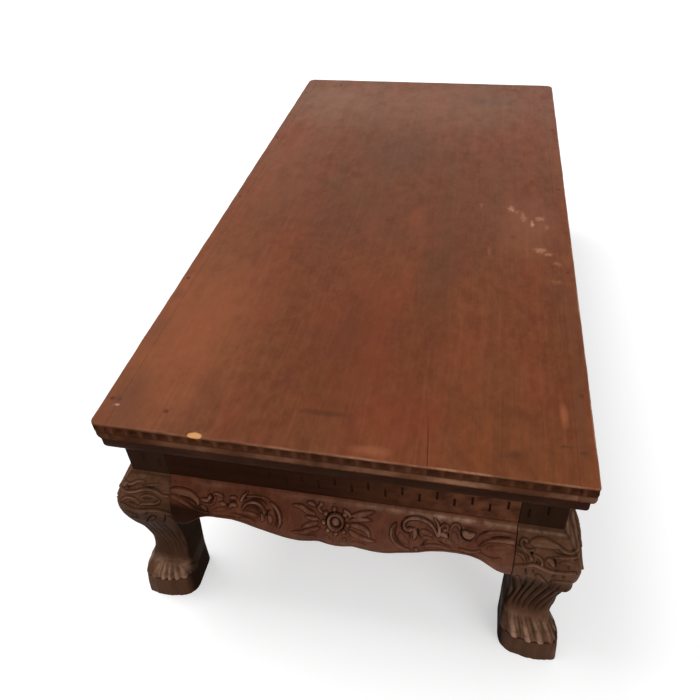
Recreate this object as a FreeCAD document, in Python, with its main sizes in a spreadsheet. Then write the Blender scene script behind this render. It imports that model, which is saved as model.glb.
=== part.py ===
import FreeCAD, Part
import math
import os
import re
from types import SimpleNamespace

import Sketcher

# A waisted low table on four carved cabriole legs. The origin is on the floor
# under the middle of the top, X runs across the top and Y along it. Each of
# the four sides is drawn in one side frame: x along the side from its middle,
# y inward from the edge of the top, z up from the floor. Each leg is drawn in
# a corner frame: x and y inward from the two edges of the top.

SIZES = {
    # The top: one wide plank between two narrow strips
    "top_width": 470, "top_length": 905, "table_height": 305,
    "slab_height": 25, "strip_width": 17,
    "tongue_reach": 6, "tongue_height": 5, "tongue_stop": 30,
    # The moulded edge of the top
    "nosing_radius": 2, "band_height": 9, "quirk_depth": 1.2,
    "quirk_height": 1, "roll_foot_inset": 3.5, "roll_radius": 12,
    "notch_pitch": 15, "notch_width": 8.5, "notch_height": 6.5,
    "notch_slant": 3, "notch_depth": 1.5, "notch_drop": 2.4,
    # The moulding rails under the top, mitred into a ring
    "rail_inset": 4.5, "rail_width": 45, "rail_height": 20,
    "rail_face_height": 9, "rail_foot_inset": 12, "rail_round": 13,
    # The sunk waist with its rows of slots
    "waist_inset": 16, "waist_thickness": 12, "waist_height": 42,
    "waist_tongue_reach": 6, "waist_tongue_thickness": 5,
    "slot_width": 2, "slot_height": 12, "slot_depth": 4,
    "slot_pitch": 16.5, "slot_foot": 12, "slot_stagger": 7,
    # The bulging aprons
    "ledge_inset": 12.5, "ledge_height": 4, "apron_height": 63,
    "apron_rise": 24.5, "joint_drop": 7, "brow_reach": 47,
    "level_run": 12,
    "apron_tenon_reach": 12, "apron_tenon_thickness": 10,
    "apron_tenon_height": 28, "apron_tenon_inset": 10,
    "apron_tenon_foot": 14,
    # The flower at the middle of each apron
    "flower_rise": 41, "boss_radius": 8, "boss_height": 5,
    "petal_ring_radius": 13.5, "petal_length": 11, "petal_width": 10,
    "petal_height": 4, "leaf_length": 27, "leaf_width": 12,
    "leaf_height": 4, "leaf_distance": 28, "side_leaf_distance": 27,
    # The legs
    "leg_width": 59, "knee_reach": 3.5, "ankle_inset": 10.5,
    "ankle_width": 45.5, "foot_reach": 5, "foot_width": 60,
    "foot_bulge": 2.5, "plinth_height": 33, "plinth_batter": 2.5,
    "instep_height": 62, "ankle_foot_height": 79, "ankle_head_height": 100,
    "knee_round": 4, "ankle_round": 8, "foot_round": 5,
    "joint_ease": 0.8, "ankle_side_round": 6, "heel_round": 20,
    "back_round": 12, "toe_groove_radius": 3, "toe_pitch": 13.5,
    "toe_fan": 9,
    "leg_tenon_width": 20, "leg_tenon_height": 16,
    "leg_tenon_inset": 26,
    # The battens across the underside of the top
    "batten_width": 45, "batten_height": 18, "batten_spread": 260,
    "key_neck": 24, "key_head": 30, "key_height": 5,
    "batten_tenon_reach": 12, "batten_tenon_width": 30,
    "batten_tenon_height": 9,
    # Pegs and nails
    "peg_radius": 3.5, "peg_tip_inset": 13, "peg_level_gap": 12,
    "nail_radius": 1.2, "nail_length": 38, "nail_head_radius": 2.2,
    "nail_head_height": 1, "strip_nail_start": 35,
    "strip_nail_shift": 71, "strip_nail_pitch": 200,
    "end_nail_inset": 27, "end_nail_side": 69,
    # Clearances
    "joint_gap": 0.2, "peg_gap": 0.1, "overrun": 5,
}

# The curved lower edge of an apron. Near a leg the shares are of the reach
# from the joint and of the rise. Near the middle they are of the reach from
# the middle and of the rise.
BROW_SHARES = [(0, 0), (0.13, 0.16), (0.3, 0.47), (0.47, 0.78),
               (0.66, 0.94), (1, 1)]
LOBE_SHARES = [(1, 1), (0.86, 0.88), (0.72, 0.64), (0.59, 0.43),
               (0.47, 0.25), (0.36, 0.19), (0.26, 0.28), (0.155, 0.37),
               (0.07, 0.25), (0, 0.2)]

# The bulge that aprons and knees share, from the ledge down to the apron's
# foot: shares of that height, and of the way from the ledge out to the reach.
BULGE_SHARES = [(0, 0), (0.15, 0.3), (0.32, 0.62), (0.5, 0.88), (0.68, 1),
                (0.84, 0.97), (1, 0.86)]
# The shank from the head of the ankle up to the knee's foot, the same way.
SHANK_SHARES = [(0.22, 0.15), (0.49, 0.4), (0.73, 0.75)]
# The instep from the plinth up to the foot of the ankle: shares of the height
# and shares of the way in from the foot's face to the ankle's.
INSTEP_SHARES = [(0.13, 0.1), (0.33, 0.37), (0.57, 0.65), (0.83, 0.88)]
PETALS = 8
LEAF_TURNS = (-28, 28, 152, 208)
SIDE_LEAF_TURNS = (0, 180)

SIDES = ["front", "right", "back", "left"]
CORNERS = ["front_left", "front_right", "back_right", "back_left"]
BATTENS = {"front": -1, "middle": 0, "back": 1}
CORNER_WAYS = [(-1, -1), (1, -1), (1, 1), (-1, 1)]
QUARTER_TURN = 90
HALF_TURN = 2 * QUARTER_TURN
TOES_PER_SIDE = 4

doc = FreeCAD.newDocument("KangTable")
sheet = doc.addObject("Spreadsheet::Sheet", "Sizes")
for row, (alias, number) in enumerate(SIZES.items(), start=1):
    sheet.set(f"A{row}", alias)
    sheet.set(f"B{row}", str(number))
    sheet.setAlias(f"B{row}", alias)
doc.recompute()

size = SimpleNamespace(**{alias: float(getattr(sheet, alias))
                          for alias in SIZES})

# Levels up from the floor, written once and used by every piece
SLAB_FOOT = "(table_height - slab_height)"
RAIL_FOOT = f"({SLAB_FOOT} - rail_height)"
WAIST_FOOT = f"({RAIL_FOOT} - waist_height)"
APRON_FOOT = f"({WAIST_FOOT} - apron_height)"
PLANK_WIDTH = "(top_width - 2 * strip_width)"
RUNS = {"front": "top_width", "right": "top_length",
        "back": "top_width", "left": "top_length"}

parts = {}


def cells(text):
    """The same sum with each size's alias written as a cell of the sheet."""
    return re.sub(r"[a-z]+(_[a-z]+)+|\boverrun\b",
                  lambda word: "Sizes." + word.group(0)
                  if word.group(0) in SIZES else word.group(0), text)


def value(text):
    """The present value of a sum of sizes."""
    return float(sheet.evalExpression(cells(text)))


def bind(thing, **texts):
    """Bind each named property of a thing to a sum of sizes."""
    for path, text in texts.items():
        thing.setExpression(path.replace("__", "."), cells(text))


def part_body(label):
    """A new body that is one piece of the table."""
    body = doc.addObject("PartDesign::Body", label)
    body.Label = label
    parts[label] = body
    return body


def on_side(piece, side):
    """Stand a piece drawn in the side frame on its side of the table."""
    turn = SIDES.index(side) * QUARTER_TURN
    piece.Placement.Rotation = FreeCAD.Rotation(FreeCAD.Vector(0, 0, 1), turn)
    moves = {"front": ("y", "-top_length / 2"), "right": ("x", "top_width / 2"),
             "back": ("y", "top_length / 2"), "left": ("x", "-top_width / 2")}
    axis, text = moves[side]
    piece.setExpression(f"Placement.Base.{axis}", cells(text))


def attach(sketch, body, plane, offset):
    """Put a sketch on one of its body's planes, moved along the normal."""
    role = plane + "_Plane"
    face = [f for f in body.Origin.OriginFeatures if f.Role == role][0]
    sketch.AttachmentSupport = (face, [""])
    sketch.MapMode = "FlatFace"
    if offset:
        bind(sketch, AttachmentOffset__Base__z=offset)


def outline(body, name, plane, path, offset=None):
    """A closed outline whose every corner is bound to sums of sizes.

    Each step of the path is (across, up) for the end of a straight side, or
    (across, up, radius, turn) for the end of an arc that turns left (1) or
    right (-1) on its way.
    """
    sketch = body.newObject("Sketcher::SketchObject", name)
    attach(sketch, body, plane, offset)
    spots = [FreeCAD.Vector(value(s[0]), value(s[1]), 0) for s in path]
    ends = []
    for index, step in enumerate(path):
        start, end = spots[index - 1], spots[index]
        if len(step) == 2:
            sketch.addGeometry(Part.LineSegment(start, end), False)
            ends.append((1, 2))
            continue
        radius, turn = value(step[2]), step[3]
        chord = end - start
        rise = math.sqrt(max(radius ** 2 - (chord.Length / 2) ** 2, 0))
        left = FreeCAD.Vector(-chord.y, chord.x, 0).normalize()
        centre = (start + end) / 2 + left * rise * turn
        first, last = (start, end) if turn > 0 else (end, start)
        angles = [math.atan2(p.y - centre.y, p.x - centre.x)
                  for p in (first, last)]
        ring = Part.Circle(centre, FreeCAD.Vector(0, 0, 1), radius)
        sketch.addGeometry(Part.ArcOfCircle(ring, *angles), False)
        ends.append((1, 2) if turn > 0 else (2, 1))
    for index, step in enumerate(path):
        after = (index + 1) % len(path)
        sketch.addConstraint(Sketcher.Constraint(
            "Coincident", index, ends[index][1], after, ends[after][0]))
        for kind, text, spot in (("DistanceX", step[0], spots[index].x),
                                 ("DistanceY", step[1], spots[index].y)):
            fixed = sketch.addConstraint(Sketcher.Constraint(
                kind, -1, 1, index, ends[index][1], spot))
            sketch.setExpression(f"Constraints[{fixed}]", cells(text))
        if len(step) == 4:
            fixed = sketch.addConstraint(Sketcher.Constraint(
                "Radius", index, value(step[2])))
            sketch.setExpression(f"Constraints[{fixed}]", cells(step[2]))
    return sketch


def circles(body, name, plane, spots, radius, offset):
    """Equal circles on a plane, each centre bound to sums of sizes."""
    sketch = body.newObject("Sketcher::SketchObject", name)
    attach(sketch, body, plane, offset)
    for index, (across, up) in enumerate(spots):
        centre = FreeCAD.Vector(value(across), value(up), 0)
        sketch.addGeometry(Part.Circle(centre, FreeCAD.Vector(0, 0, 1),
                                       value(radius)), False)
        for kind, text, spot in (("DistanceX", across, centre.x),
                                 ("DistanceY", up, centre.y)):
            fixed = sketch.addConstraint(Sketcher.Constraint(
                kind, -1, 1, index, 3, spot))
            sketch.setExpression(f"Constraints[{fixed}]", cells(text))
        fixed = sketch.addConstraint(Sketcher.Constraint(
            "Radius", index, value(radius)))
        sketch.setExpression(f"Constraints[{fixed}]", cells(radius))
    return sketch


def pad(body, name, sketch, length, both_ways=False):
    """Raise an outline by a length, or by half of it each way."""
    feature = body.newObject("PartDesign::Pad", name)
    feature.Profile = sketch
    if both_ways:
        feature.SideType = "Symmetric"
    bind(feature, Length=length)
    return feature


def pocket(body, name, sketch, length, both_ways=False, reverse=False):
    """Sink an outline by a length, or by half of it each way."""
    feature = body.newObject("PartDesign::Pocket", name)
    feature.Profile = sketch
    if both_ways:
        feature.SideType = "Symmetric"
    feature.Reversed = reverse
    bind(feature, Length=length)
    return feature


def block(body, name, kind, low, high):
    """Add or take away a box between two corners bound to sums of sizes."""
    feature = body.newObject(f"PartDesign::{kind}Box", name)
    for side, axis, start, end in zip(("Length", "Width", "Height"), "xyz",
                                      low, high):
        feature.setExpression(side, cells(f"({end}) - ({start})"))
        feature.setExpression(f"Placement.Base.{axis}", cells(start))
    return feature


def repeat(body, name, feature, sketch, count, pitch):
    """Repeat a feature along its sketch's own horizontal axis."""
    pattern = body.newObject("PartDesign::LinearPattern", name)
    pattern.Originals = [feature]
    pattern.Direction = (sketch, ["H_Axis"])
    bind(pattern, Occurrences=count, Length=f"({count} - 1) * {pitch}")
    body.Tip = pattern
    return pattern


def edge_waste(edge, outward):
    """What lies outside the moulded edge: a nosing, a band, a quirk, a roll.

    The edge's plane is at the sum called edge, and outward is -1 or 1.
    """
    sign = "-" if outward < 0 else "+"
    inside = "+" if outward < 0 else "-"
    band_foot = "(table_height - nosing_radius - band_height)"
    return [
        (f"{edge} {inside} nosing_radius", "table_height"),
        (edge, "table_height - nosing_radius", "nosing_radius", -outward),
        (edge, band_foot),
        (f"{edge} {inside} quirk_depth", f"{band_foot} - quirk_height"),
        (f"{edge} {inside} roll_foot_inset", SLAB_FOOT, "roll_radius",
         -outward),
        (f"{edge} {inside} roll_foot_inset", f"{SLAB_FOOT} - overrun"),
        (f"{edge} {sign} overrun", f"{SLAB_FOOT} - overrun"),
        (f"{edge} {sign} overrun", "table_height + overrun"),
        (f"{edge} {inside} nosing_radius", "table_height + overrun"),
    ]


def notch_row(body, name, run, offset, reverse):
    """A row of slanted notches cut in the band under the nosing."""
    count = f"floor({run} / notch_pitch)"
    start = f"(-({count} - 1) * notch_pitch / 2 - notch_width / 2)"
    head = "(table_height - notch_drop)"
    foot = f"({head} - notch_height)"
    sketch = outline(body, name + "_outline", "XZ", [
        (start, foot),
        (f"{start} + notch_width", foot),
        (f"{start} + notch_width - notch_slant", head),
        (f"{start} - notch_slant", head),
    ], offset)
    cut = pocket(body, name, sketch, "notch_depth", reverse=reverse)
    repeat(body, name + "_row", cut, sketch, count, "notch_pitch")


def strip_nail_spots(start):
    """How far along a side each nail of a strip stands, from the middle."""
    count = int((size.top_length - start - size.strip_nail_start)
                // size.strip_nail_pitch) + 1
    begin = ("(strip_nail_start - top_length / 2)"
             if start == size.strip_nail_start
             else "(strip_nail_start + strip_nail_shift - top_length / 2)")
    return [f"({begin} + {index} * strip_nail_pitch)"
            for index in range(count)]


LEFT_NAILS = strip_nail_spots(size.strip_nail_start)
RIGHT_NAILS = strip_nail_spots(size.strip_nail_start + size.strip_nail_shift)
STRIP_NAILS = {"right": RIGHT_NAILS, "left": LEFT_NAILS}
STRIP_WAYS = {"right": "", "left": "-"}
STRIP_NAIL_INSET = "strip_width / 2"


def strip_nail_places(side):
    """The nails of one strip in the side frame: along, and in from the edge."""
    return [(f"{STRIP_WAYS[side]}{spot}", STRIP_NAIL_INSET)
            for spot in STRIP_NAILS[side]]


def end_nail_spots():
    """The nails of one end in the side frame: along, and in from the edge."""
    return [(f"{sign}(top_width / 2 - end_nail_side)", "end_nail_inset")
            for sign in ("-", "")]


def nail_holes(body, spots, top, foot):
    """Drill for the nails' shanks between two levels."""
    sketch = circles(body, "nail_holes_outline", "XY", spots,
                     "nail_radius + peg_gap", top)
    pocket(body, "nail_holes", sketch, f"({top}) - ({foot})")


def head_holes(body, spots):
    """Sink the nails' heads flush with the top."""
    sketch = circles(body, "head_holes_outline", "XY", spots,
                     "nail_head_radius + peg_gap", "table_height")
    pocket(body, "head_holes", sketch, "nail_head_height + peg_gap")


def make_top_plank():
    """The wide plank: moulded ends, tongues, grooves for the batten keys."""
    body = part_body("top_plank")
    half = f"{PLANK_WIDTH} / 2"
    rectangle = outline(body, "plank_outline", "XY", [
        (f"-{half}", "-top_length / 2"), (half, "-top_length / 2"),
        (half, "top_length / 2"), (f"-{half}", "top_length / 2"),
    ], SLAB_FOOT)
    pad(body, "plank", rectangle, "slab_height")
    middle = f"({SLAB_FOOT} + slab_height / 2)"
    for sign in (-1, 1):
        near, far = half, f"{half} + tongue_reach"
        low, high = (near, far) if sign > 0 else (f"-({far})", f"-{half}")
        block(body, "tongue", "Additive",
              (low, "-top_length / 2 + tongue_stop",
               f"{middle} - tongue_height / 2"),
              (high, "top_length / 2 - tongue_stop",
               f"{middle} + tongue_height / 2"))
    for name, sign in (("front", -1), ("back", 1)):
        edge = f"({sign} * top_length / 2)"
        waste = outline(body, name + "_moulding_outline", "YZ",
                        edge_waste(edge, sign))
        pocket(body, name + "_moulding", waste, "top_width + overrun", True)
    for name, sign in BATTENS.items():
        place = f"({sign} * batten_spread)"
        groove = outline(body, name + "_key_groove_outline", "YZ", [
            (f"{place} - key_neck / 2 - joint_gap", f"{SLAB_FOOT} - overrun"),
            (f"{place} + key_neck / 2 + joint_gap", f"{SLAB_FOOT} - overrun"),
            (f"{place} + key_neck / 2 + joint_gap", SLAB_FOOT),
            (f"{place} + key_head / 2 + joint_gap",
             f"{SLAB_FOOT} + key_height + joint_gap"),
            (f"{place} - key_head / 2 - joint_gap",
             f"{SLAB_FOOT} + key_height + joint_gap"),
            (f"{place} - key_neck / 2 - joint_gap", SLAB_FOOT),
        ])
        pocket(body, name + "_key_groove", groove, "top_width + overrun", True)
    spots = [(along, f"{sign} * (top_length / 2 - {inset})")
             for along, inset in end_nail_spots() for sign in (-1, 1)]
    nail_holes(body, spots, "table_height", SLAB_FOOT)
    head_holes(body, spots)
    notch_row(body, "front_notches", PLANK_WIDTH, "top_length / 2", False)
    notch_row(body, "back_notches", PLANK_WIDTH, "-top_length / 2", True)


def make_top_strip(side):
    """A narrow strip along one long edge, grooved for the plank's tongue."""
    body = part_body(f"top_strip_{side}")
    half = "top_length / 2"
    rectangle = outline(body, "strip_outline", "XY", [
        (f"-{half}", "0"), (half, "0"),
        (half, "strip_width"), (f"-{half}", "strip_width"),
    ], SLAB_FOOT)
    pad(body, "strip", rectangle, "slab_height")
    waste = outline(body, "long_moulding_outline", "YZ", edge_waste("0", -1))
    pocket(body, "long_moulding", waste, "top_length + overrun", True)
    for sign in (-1, 1):
        edge = f"({sign} * top_length / 2)"
        waste = outline(body, "end_moulding_outline", "XZ",
                        edge_waste(edge, sign))
        pocket(body, "end_moulding", waste,
               "2 * strip_width + overrun", True)
    middle = f"({SLAB_FOOT} + slab_height / 2)"
    block(body, "tongue_groove", "Subtractive",
          (f"-{half} + tongue_stop - joint_gap",
           "strip_width - tongue_reach - joint_gap",
           f"{middle} - tongue_height / 2 - joint_gap"),
          (f"{half} - tongue_stop + joint_gap", "strip_width + overrun",
           f"{middle} + tongue_height / 2 + joint_gap"))
    spots = strip_nail_places(side)
    nail_holes(body, spots, "table_height", SLAB_FOOT)
    head_holes(body, spots)
    notch_row(body, "long_notches", "top_length", None, False)
    on_side(body, side)


def make_rail(side):
    """One mitred length of the moulding ring under the top."""
    body = part_body(f"moulding_rail_{side}")
    run = RUNS[side]
    back = "rail_inset + rail_width"
    section = outline(body, "rail_section", "YZ", [
        (back, SLAB_FOOT),
        ("rail_inset", SLAB_FOOT),
        ("rail_inset", f"{SLAB_FOOT} - rail_face_height"),
        ("rail_foot_inset", RAIL_FOOT, "rail_round", 1),
        (back, RAIL_FOOT),
    ])
    pad(body, "rail", section, f"{run} - 2 * rail_inset", True)
    for name, sign in (("left", "-"), ("right", "")):
        corner = f"{sign}({run} / 2)"
        tip = f"{sign}({run} / 2 - rail_inset - rail_width - overrun)"
        waste = outline(body, name + "_mitre_outline", "XY", [
            (corner, "0"),
            (tip, "rail_inset + rail_width + overrun"),
            (corner, "rail_inset + rail_width + overrun"),
        ], f"{SLAB_FOOT} + overrun")
        pocket(body, name + "_mitre", waste, "rail_height + 2 * overrun")
    near = "leg_tenon_inset - joint_gap"
    far = "leg_tenon_inset + leg_tenon_width + joint_gap"
    for low, high in ((f"-{run} / 2 + {near}", f"-{run} / 2 + {far}"),
                      (f"{run} / 2 - ({far})", f"{run} / 2 - ({near})")):
        block(body, "leg_mortise", "Subtractive",
              (low, near, f"{RAIL_FOOT} - overrun"),
              (high, far, f"{RAIL_FOOT} + leg_tenon_height + joint_gap"))
    if side in STRIP_NAILS:
        for sign in BATTENS.values():
            place = f"({sign} * batten_spread)"
            reach = "batten_tenon_width / 2 + joint_gap"
            block(body, "batten_mortise", "Subtractive",
                  (f"{place} - {reach}",
                   f"{back} - batten_tenon_reach - joint_gap",
                   f"{SLAB_FOOT} - batten_height / 2 "
                   "- batten_tenon_height / 2 - joint_gap"),
                  (f"{place} + {reach}", f"{back} + overrun",
                   f"{SLAB_FOOT} - batten_height / 2 "
                   "+ batten_tenon_height / 2 + joint_gap"))
        spots = strip_nail_places(side)
    else:
        spots = end_nail_spots()
    nail_holes(body, spots, SLAB_FOOT,
               "table_height - nail_length - peg_gap")
    on_side(body, side)


def make_waist(side):
    """A sunk waist board with two staggered rows of slots."""
    body = part_body(f"waist_board_{side}")
    run = RUNS[side]
    half = f"({run} / 2 - leg_width)"
    rectangle = outline(body, "waist_outline", "XY", [
        (f"-{half}", "waist_inset"), (half, "waist_inset"),
        (half, "waist_inset + waist_thickness"),
        (f"-{half}", "waist_inset + waist_thickness"),
    ], WAIST_FOOT)
    pad(body, "waist", rectangle, "waist_height")
    near = "(waist_inset + waist_thickness / 2 - waist_tongue_thickness / 2)"
    far = "(waist_inset + waist_thickness / 2 + waist_tongue_thickness / 2)"
    for low, high in ((f"-{half} - waist_tongue_reach", f"-{half}"),
                      (half, f"{half} + waist_tongue_reach")):
        block(body, "waist_tongue", "Additive",
              (low, near, WAIST_FOOT), (high, far, RAIL_FOOT))
    steps = f"floor(({half} - slot_pitch / 2) / slot_pitch)"
    for name, shift, lift in (("low", "1", "0"),
                              ("high", "0", "slot_stagger")):
        count = f"({steps} + 1 - {shift})"
        start = f"(({shift} - {steps}) * slot_pitch - slot_width / 2)"
        foot = f"({WAIST_FOOT} + slot_foot + {lift})"
        sketch = outline(body, name + "_slot_outline", "XZ", [
            (start, foot), (f"{start} + slot_width", foot),
            (f"{start} + slot_width", f"{foot} + slot_height"),
            (start, f"{foot} + slot_height"),
        ], "-waist_inset")
        cut = pocket(body, name + "_slot", sketch, "slot_depth")
        repeat(body, name + "_slots", cut, sketch, count, "2 * slot_pitch")
    on_side(body, side)


def make_batten(name):
    """A batten across the underside, with a dovetail key and two tenons."""
    body = part_body(f"batten_{name}")
    half = "(top_width / 2 - rail_inset - rail_width - joint_gap)"
    section = outline(body, "batten_section", "YZ", [
        ("-batten_width / 2", f"{SLAB_FOOT} - batten_height"),
        ("batten_width / 2", f"{SLAB_FOOT} - batten_height"),
        ("batten_width / 2", SLAB_FOOT),
        ("key_neck / 2", SLAB_FOOT),
        ("key_head / 2", f"{SLAB_FOOT} + key_height"),
        ("-key_head / 2", f"{SLAB_FOOT} + key_height"),
        ("-key_neck / 2", SLAB_FOOT),
        ("-batten_width / 2", SLAB_FOOT),
    ])
    pad(body, "batten", section, f"2 * {half}", True)
    middle = f"({SLAB_FOOT} - batten_height / 2)"
    for low, high in ((f"-{half} - batten_tenon_reach", f"-{half}"),
                      (half, f"{half} + batten_tenon_reach")):
        block(body, "batten_tenon", "Additive",
              (low, "-batten_tenon_width / 2",
               f"{middle} - batten_tenon_height / 2"),
              (high, "batten_tenon_width / 2",
               f"{middle} + batten_tenon_height / 2"))
    body.setExpression("Placement.Base.y",
                       cells(f"{BATTENS[name]} * batten_spread"))


# Levels and insets that the carved pieces share, up from the floor
slab_foot = size.table_height - size.slab_height
rail_foot = slab_foot - size.rail_height
waist_foot = rail_foot - size.waist_height
ledge_foot = waist_foot - size.ledge_height
apron_foot = waist_foot - size.apron_height
waist_back = size.waist_inset + size.waist_thickness
peg_levels = [apron_foot + size.apron_tenon_foot
              + size.apron_tenon_height / 2 + step * size.peg_level_gap / 2
              for step in (1, -1)]


def box(low, high):
    """A solid box between two corners."""
    spans = [b - a for a, b in zip(low, high)]
    return Part.makeBox(*spans, FreeCAD.Vector(*low))


def rounded_square(height, outer, inner, radii, bulge):
    """A leg's section: a square whose outer faces may bulge.

    The corners run from the outer one round to the right, and radii gives
    their roundings: outer, joint, back, joint.
    """
    points = [FreeCAD.Vector(outer, outer, height),
              FreeCAD.Vector(inner, outer, height),
              FreeCAD.Vector(inner, inner, height),
              FreeCAD.Vector(outer, inner, height)]
    ways = [FreeCAD.Vector(1, 0, 0), FreeCAD.Vector(0, 1, 0),
            FreeCAD.Vector(-1, 0, 0), FreeCAD.Vector(0, -1, 0)]
    bulges = [bulge, 0, 0, bulge]
    edges = []
    for index in range(4):
        before, way = ways[index - 1], ways[index]
        following = (index + 1) % 4
        radius = radii[index]
        start = points[index] - before * radius
        end = points[index] + way * radius
        centre = points[index] - before * radius + way * radius
        middle = centre + (points[index] - centre).normalize() * radius
        edges.append(Part.Arc(start, middle, end).toShape())
        far = points[following] - way * radii[following]
        if bulges[index] > 0:
            out = FreeCAD.Vector(way.y, -way.x, 0) * bulges[index]
            edges.append(Part.Arc(end, (end + far) / 2 + out, far).toShape())
        else:
            edges.append(Part.LineSegment(end, far).toShape())
    return Part.Wire(edges)


def between(start, end, share):
    """The value that lies a share of the way from start to end."""
    return start + (end - start) * share


def bulge_inset(outward):
    """How far in the bulge lies a share of the way out from the ledge."""
    return between(size.ledge_inset, -size.knee_reach, outward)


def foot_section(height, outer):
    """The rounded plan of a paw: round at its inner corners."""
    radii = [size.foot_round, size.heel_round, size.back_round,
             size.heel_round]
    return rounded_square(height, outer, size.foot_width - size.foot_reach,
                          radii, size.foot_bulge)


def leg_sections():
    """The leg's sections from the plinth up to the ledge, in two runs."""
    foot_outer = -size.foot_reach + size.plinth_batter
    foot_inner = size.foot_width - size.foot_reach
    ankle_inner = size.ankle_inset + size.ankle_width
    knee_outer = bulge_inset(BULGE_SHARES[-1][1])
    foot_radii = [size.foot_round, size.heel_round, size.back_round,
                  size.heel_round]
    ankle_radii = [size.ankle_round, size.ankle_side_round,
                   size.back_round, size.ankle_side_round]
    joint_radii = [size.knee_round] + 3 * [size.joint_ease]
    low = [foot_section(size.plinth_height, foot_outer)]
    for rise, inward in INSTEP_SHARES:
        low.append(rounded_square(
            between(size.plinth_height, size.ankle_foot_height, rise),
            between(foot_outer, size.ankle_inset, inward),
            between(foot_inner, ankle_inner, inward),
            [between(a, b, inward) for a, b in zip(foot_radii, ankle_radii)],
            between(size.foot_bulge, size.joint_ease, inward)))
    for height in (size.ankle_foot_height, size.ankle_head_height):
        low.append(rounded_square(height, size.ankle_inset, ankle_inner,
                                  ankle_radii, size.joint_ease))
    for rise, outward in SHANK_SHARES:
        low.append(rounded_square(
            between(size.ankle_head_height, apron_foot, rise),
            between(size.ankle_inset, knee_outer, outward),
            between(ankle_inner, size.leg_width, outward),
            [between(a, b, outward)
             for a, b in zip(ankle_radii, joint_radii)],
            size.joint_ease))
    low.append(rounded_square(apron_foot, knee_outer, size.leg_width,
                              joint_radii, size.joint_ease))
    high = [rounded_square(between(ledge_foot, apron_foot, down),
                           bulge_inset(outward), size.leg_width,
                           joint_radii, 0)
            for down, outward in reversed(BULGE_SHARES)]
    return low, high


def toe_grooves():
    """Round grooves that fan over the instep and part the toes."""
    cutters = []
    middle = (size.foot_width - size.heel_round / 2) / 2
    for index in range(TOES_PER_SIDE - 1):
        step = index - (TOES_PER_SIDE - 2) / 2
        tip = middle + step * size.toe_pitch - size.foot_reach
        root = tip + size.toe_fan
        start = FreeCAD.Vector(
            root, size.ankle_inset - size.toe_groove_radius / 2,
            size.instep_height + size.toe_groove_radius)
        end = FreeCAD.Vector(
            tip, -size.foot_reach - size.foot_bulge
            - size.toe_groove_radius / 2, size.plinth_height)
        way = end - start
        cutters.append(Part.makeCylinder(size.toe_groove_radius, way.Length,
                                         start, way))
        mirror_start = FreeCAD.Vector(start.y, start.x, start.z)
        mirror_end = FreeCAD.Vector(end.y, end.x, end.z)
        cutters.append(Part.makeCylinder(size.toe_groove_radius, way.Length,
                                         mirror_start,
                                         mirror_end - mirror_start))
    return cutters


def leg_slots():
    """The waist's slots carried on over both faces of a leg's post."""
    cutters = []
    count = int((size.leg_width - size.waist_inset) // size.slot_pitch)
    for index in range(count):
        along = size.leg_width - (index + 0.5) * size.slot_pitch
        foot = (waist_foot + size.slot_foot
                + (index % 2) * size.slot_stagger)
        low = (along - size.slot_width / 2,
               size.waist_inset - size.overrun, foot)
        high = (along + size.slot_width / 2,
                size.waist_inset + size.slot_depth, foot + size.slot_height)
        cutters.append(box(low, high))
        cutters.append(box((low[1], low[0], low[2]),
                           (high[1], high[0], high[2])))
    return cutters


def leg_mortises():
    """Mortises for two apron tenons and two waist tongues, and peg holes."""
    gap = size.joint_gap
    near = size.apron_tenon_inset - gap
    far = size.apron_tenon_inset + size.apron_tenon_thickness + gap
    foot = apron_foot + size.apron_tenon_foot
    middle = size.waist_inset + size.waist_thickness / 2
    half = size.waist_tongue_thickness / 2 + gap
    sunk = [
        ((size.leg_width - size.apron_tenon_reach - gap, near, foot - gap),
         (size.leg_width + size.overrun, far,
          foot + size.apron_tenon_height + gap)),
        ((size.leg_width - size.waist_tongue_reach - gap, middle - half,
          waist_foot - gap),
         (size.leg_width + size.overrun, middle + half,
          rail_foot + size.overrun)),
    ]
    cutters = []
    for low, high in sunk:
        cutters.append(box(low, high))
        cutters.append(box((low[1], low[0], low[2]),
                           (high[1], high[0], high[2])))
    for way, level in zip((FreeCAD.Vector(0, -1, 0),
                           FreeCAD.Vector(-1, 0, 0)), peg_levels):
        start = peg_start(way, level)
        cutters.append(Part.makeCylinder(
            size.peg_radius + size.peg_gap,
            size.leg_width - size.peg_tip_inset + size.peg_gap, start, way))
    return cutters


def peg_start(way, level):
    """Where a peg enters the back of a leg, driven along the given way."""
    across = size.leg_width - size.apron_tenon_reach / 2
    if way.y < 0:
        return FreeCAD.Vector(across, size.leg_width, level)
    return FreeCAD.Vector(size.leg_width, across, level)


def make_leg_shape():
    """Plinth, instep, ankle, shank, knee, shoulder, post and tenon."""
    low, high = leg_sections()
    solid = Part.makeLoft([foot_section(0, -size.foot_reach), low[0]],
                          True, True)
    shoulder = Part.makeLoft(
        [high[-1], rounded_square(waist_foot, size.waist_inset,
                                  size.leg_width, 4 * [size.joint_ease], 0)],
        True, True)
    post = Part.Face(rounded_square(waist_foot, size.waist_inset,
                                    size.leg_width, 4 * [size.joint_ease], 0))
    tenon_high = size.leg_tenon_inset + size.leg_tenon_width
    solid = solid.multiFuse([
        Part.makeLoft(low, True, False),
        Part.makeLoft(high, True, False),
        shoulder,
        post.extrude(FreeCAD.Vector(0, 0, size.waist_height)),
        box((size.leg_tenon_inset, size.leg_tenon_inset, rail_foot),
            (tenon_high, tenon_high, rail_foot + size.leg_tenon_height)),
    ])
    solid = solid.cut(leg_mortises() + leg_slots() + toe_grooves())
    return solid.removeSplitter()


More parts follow.
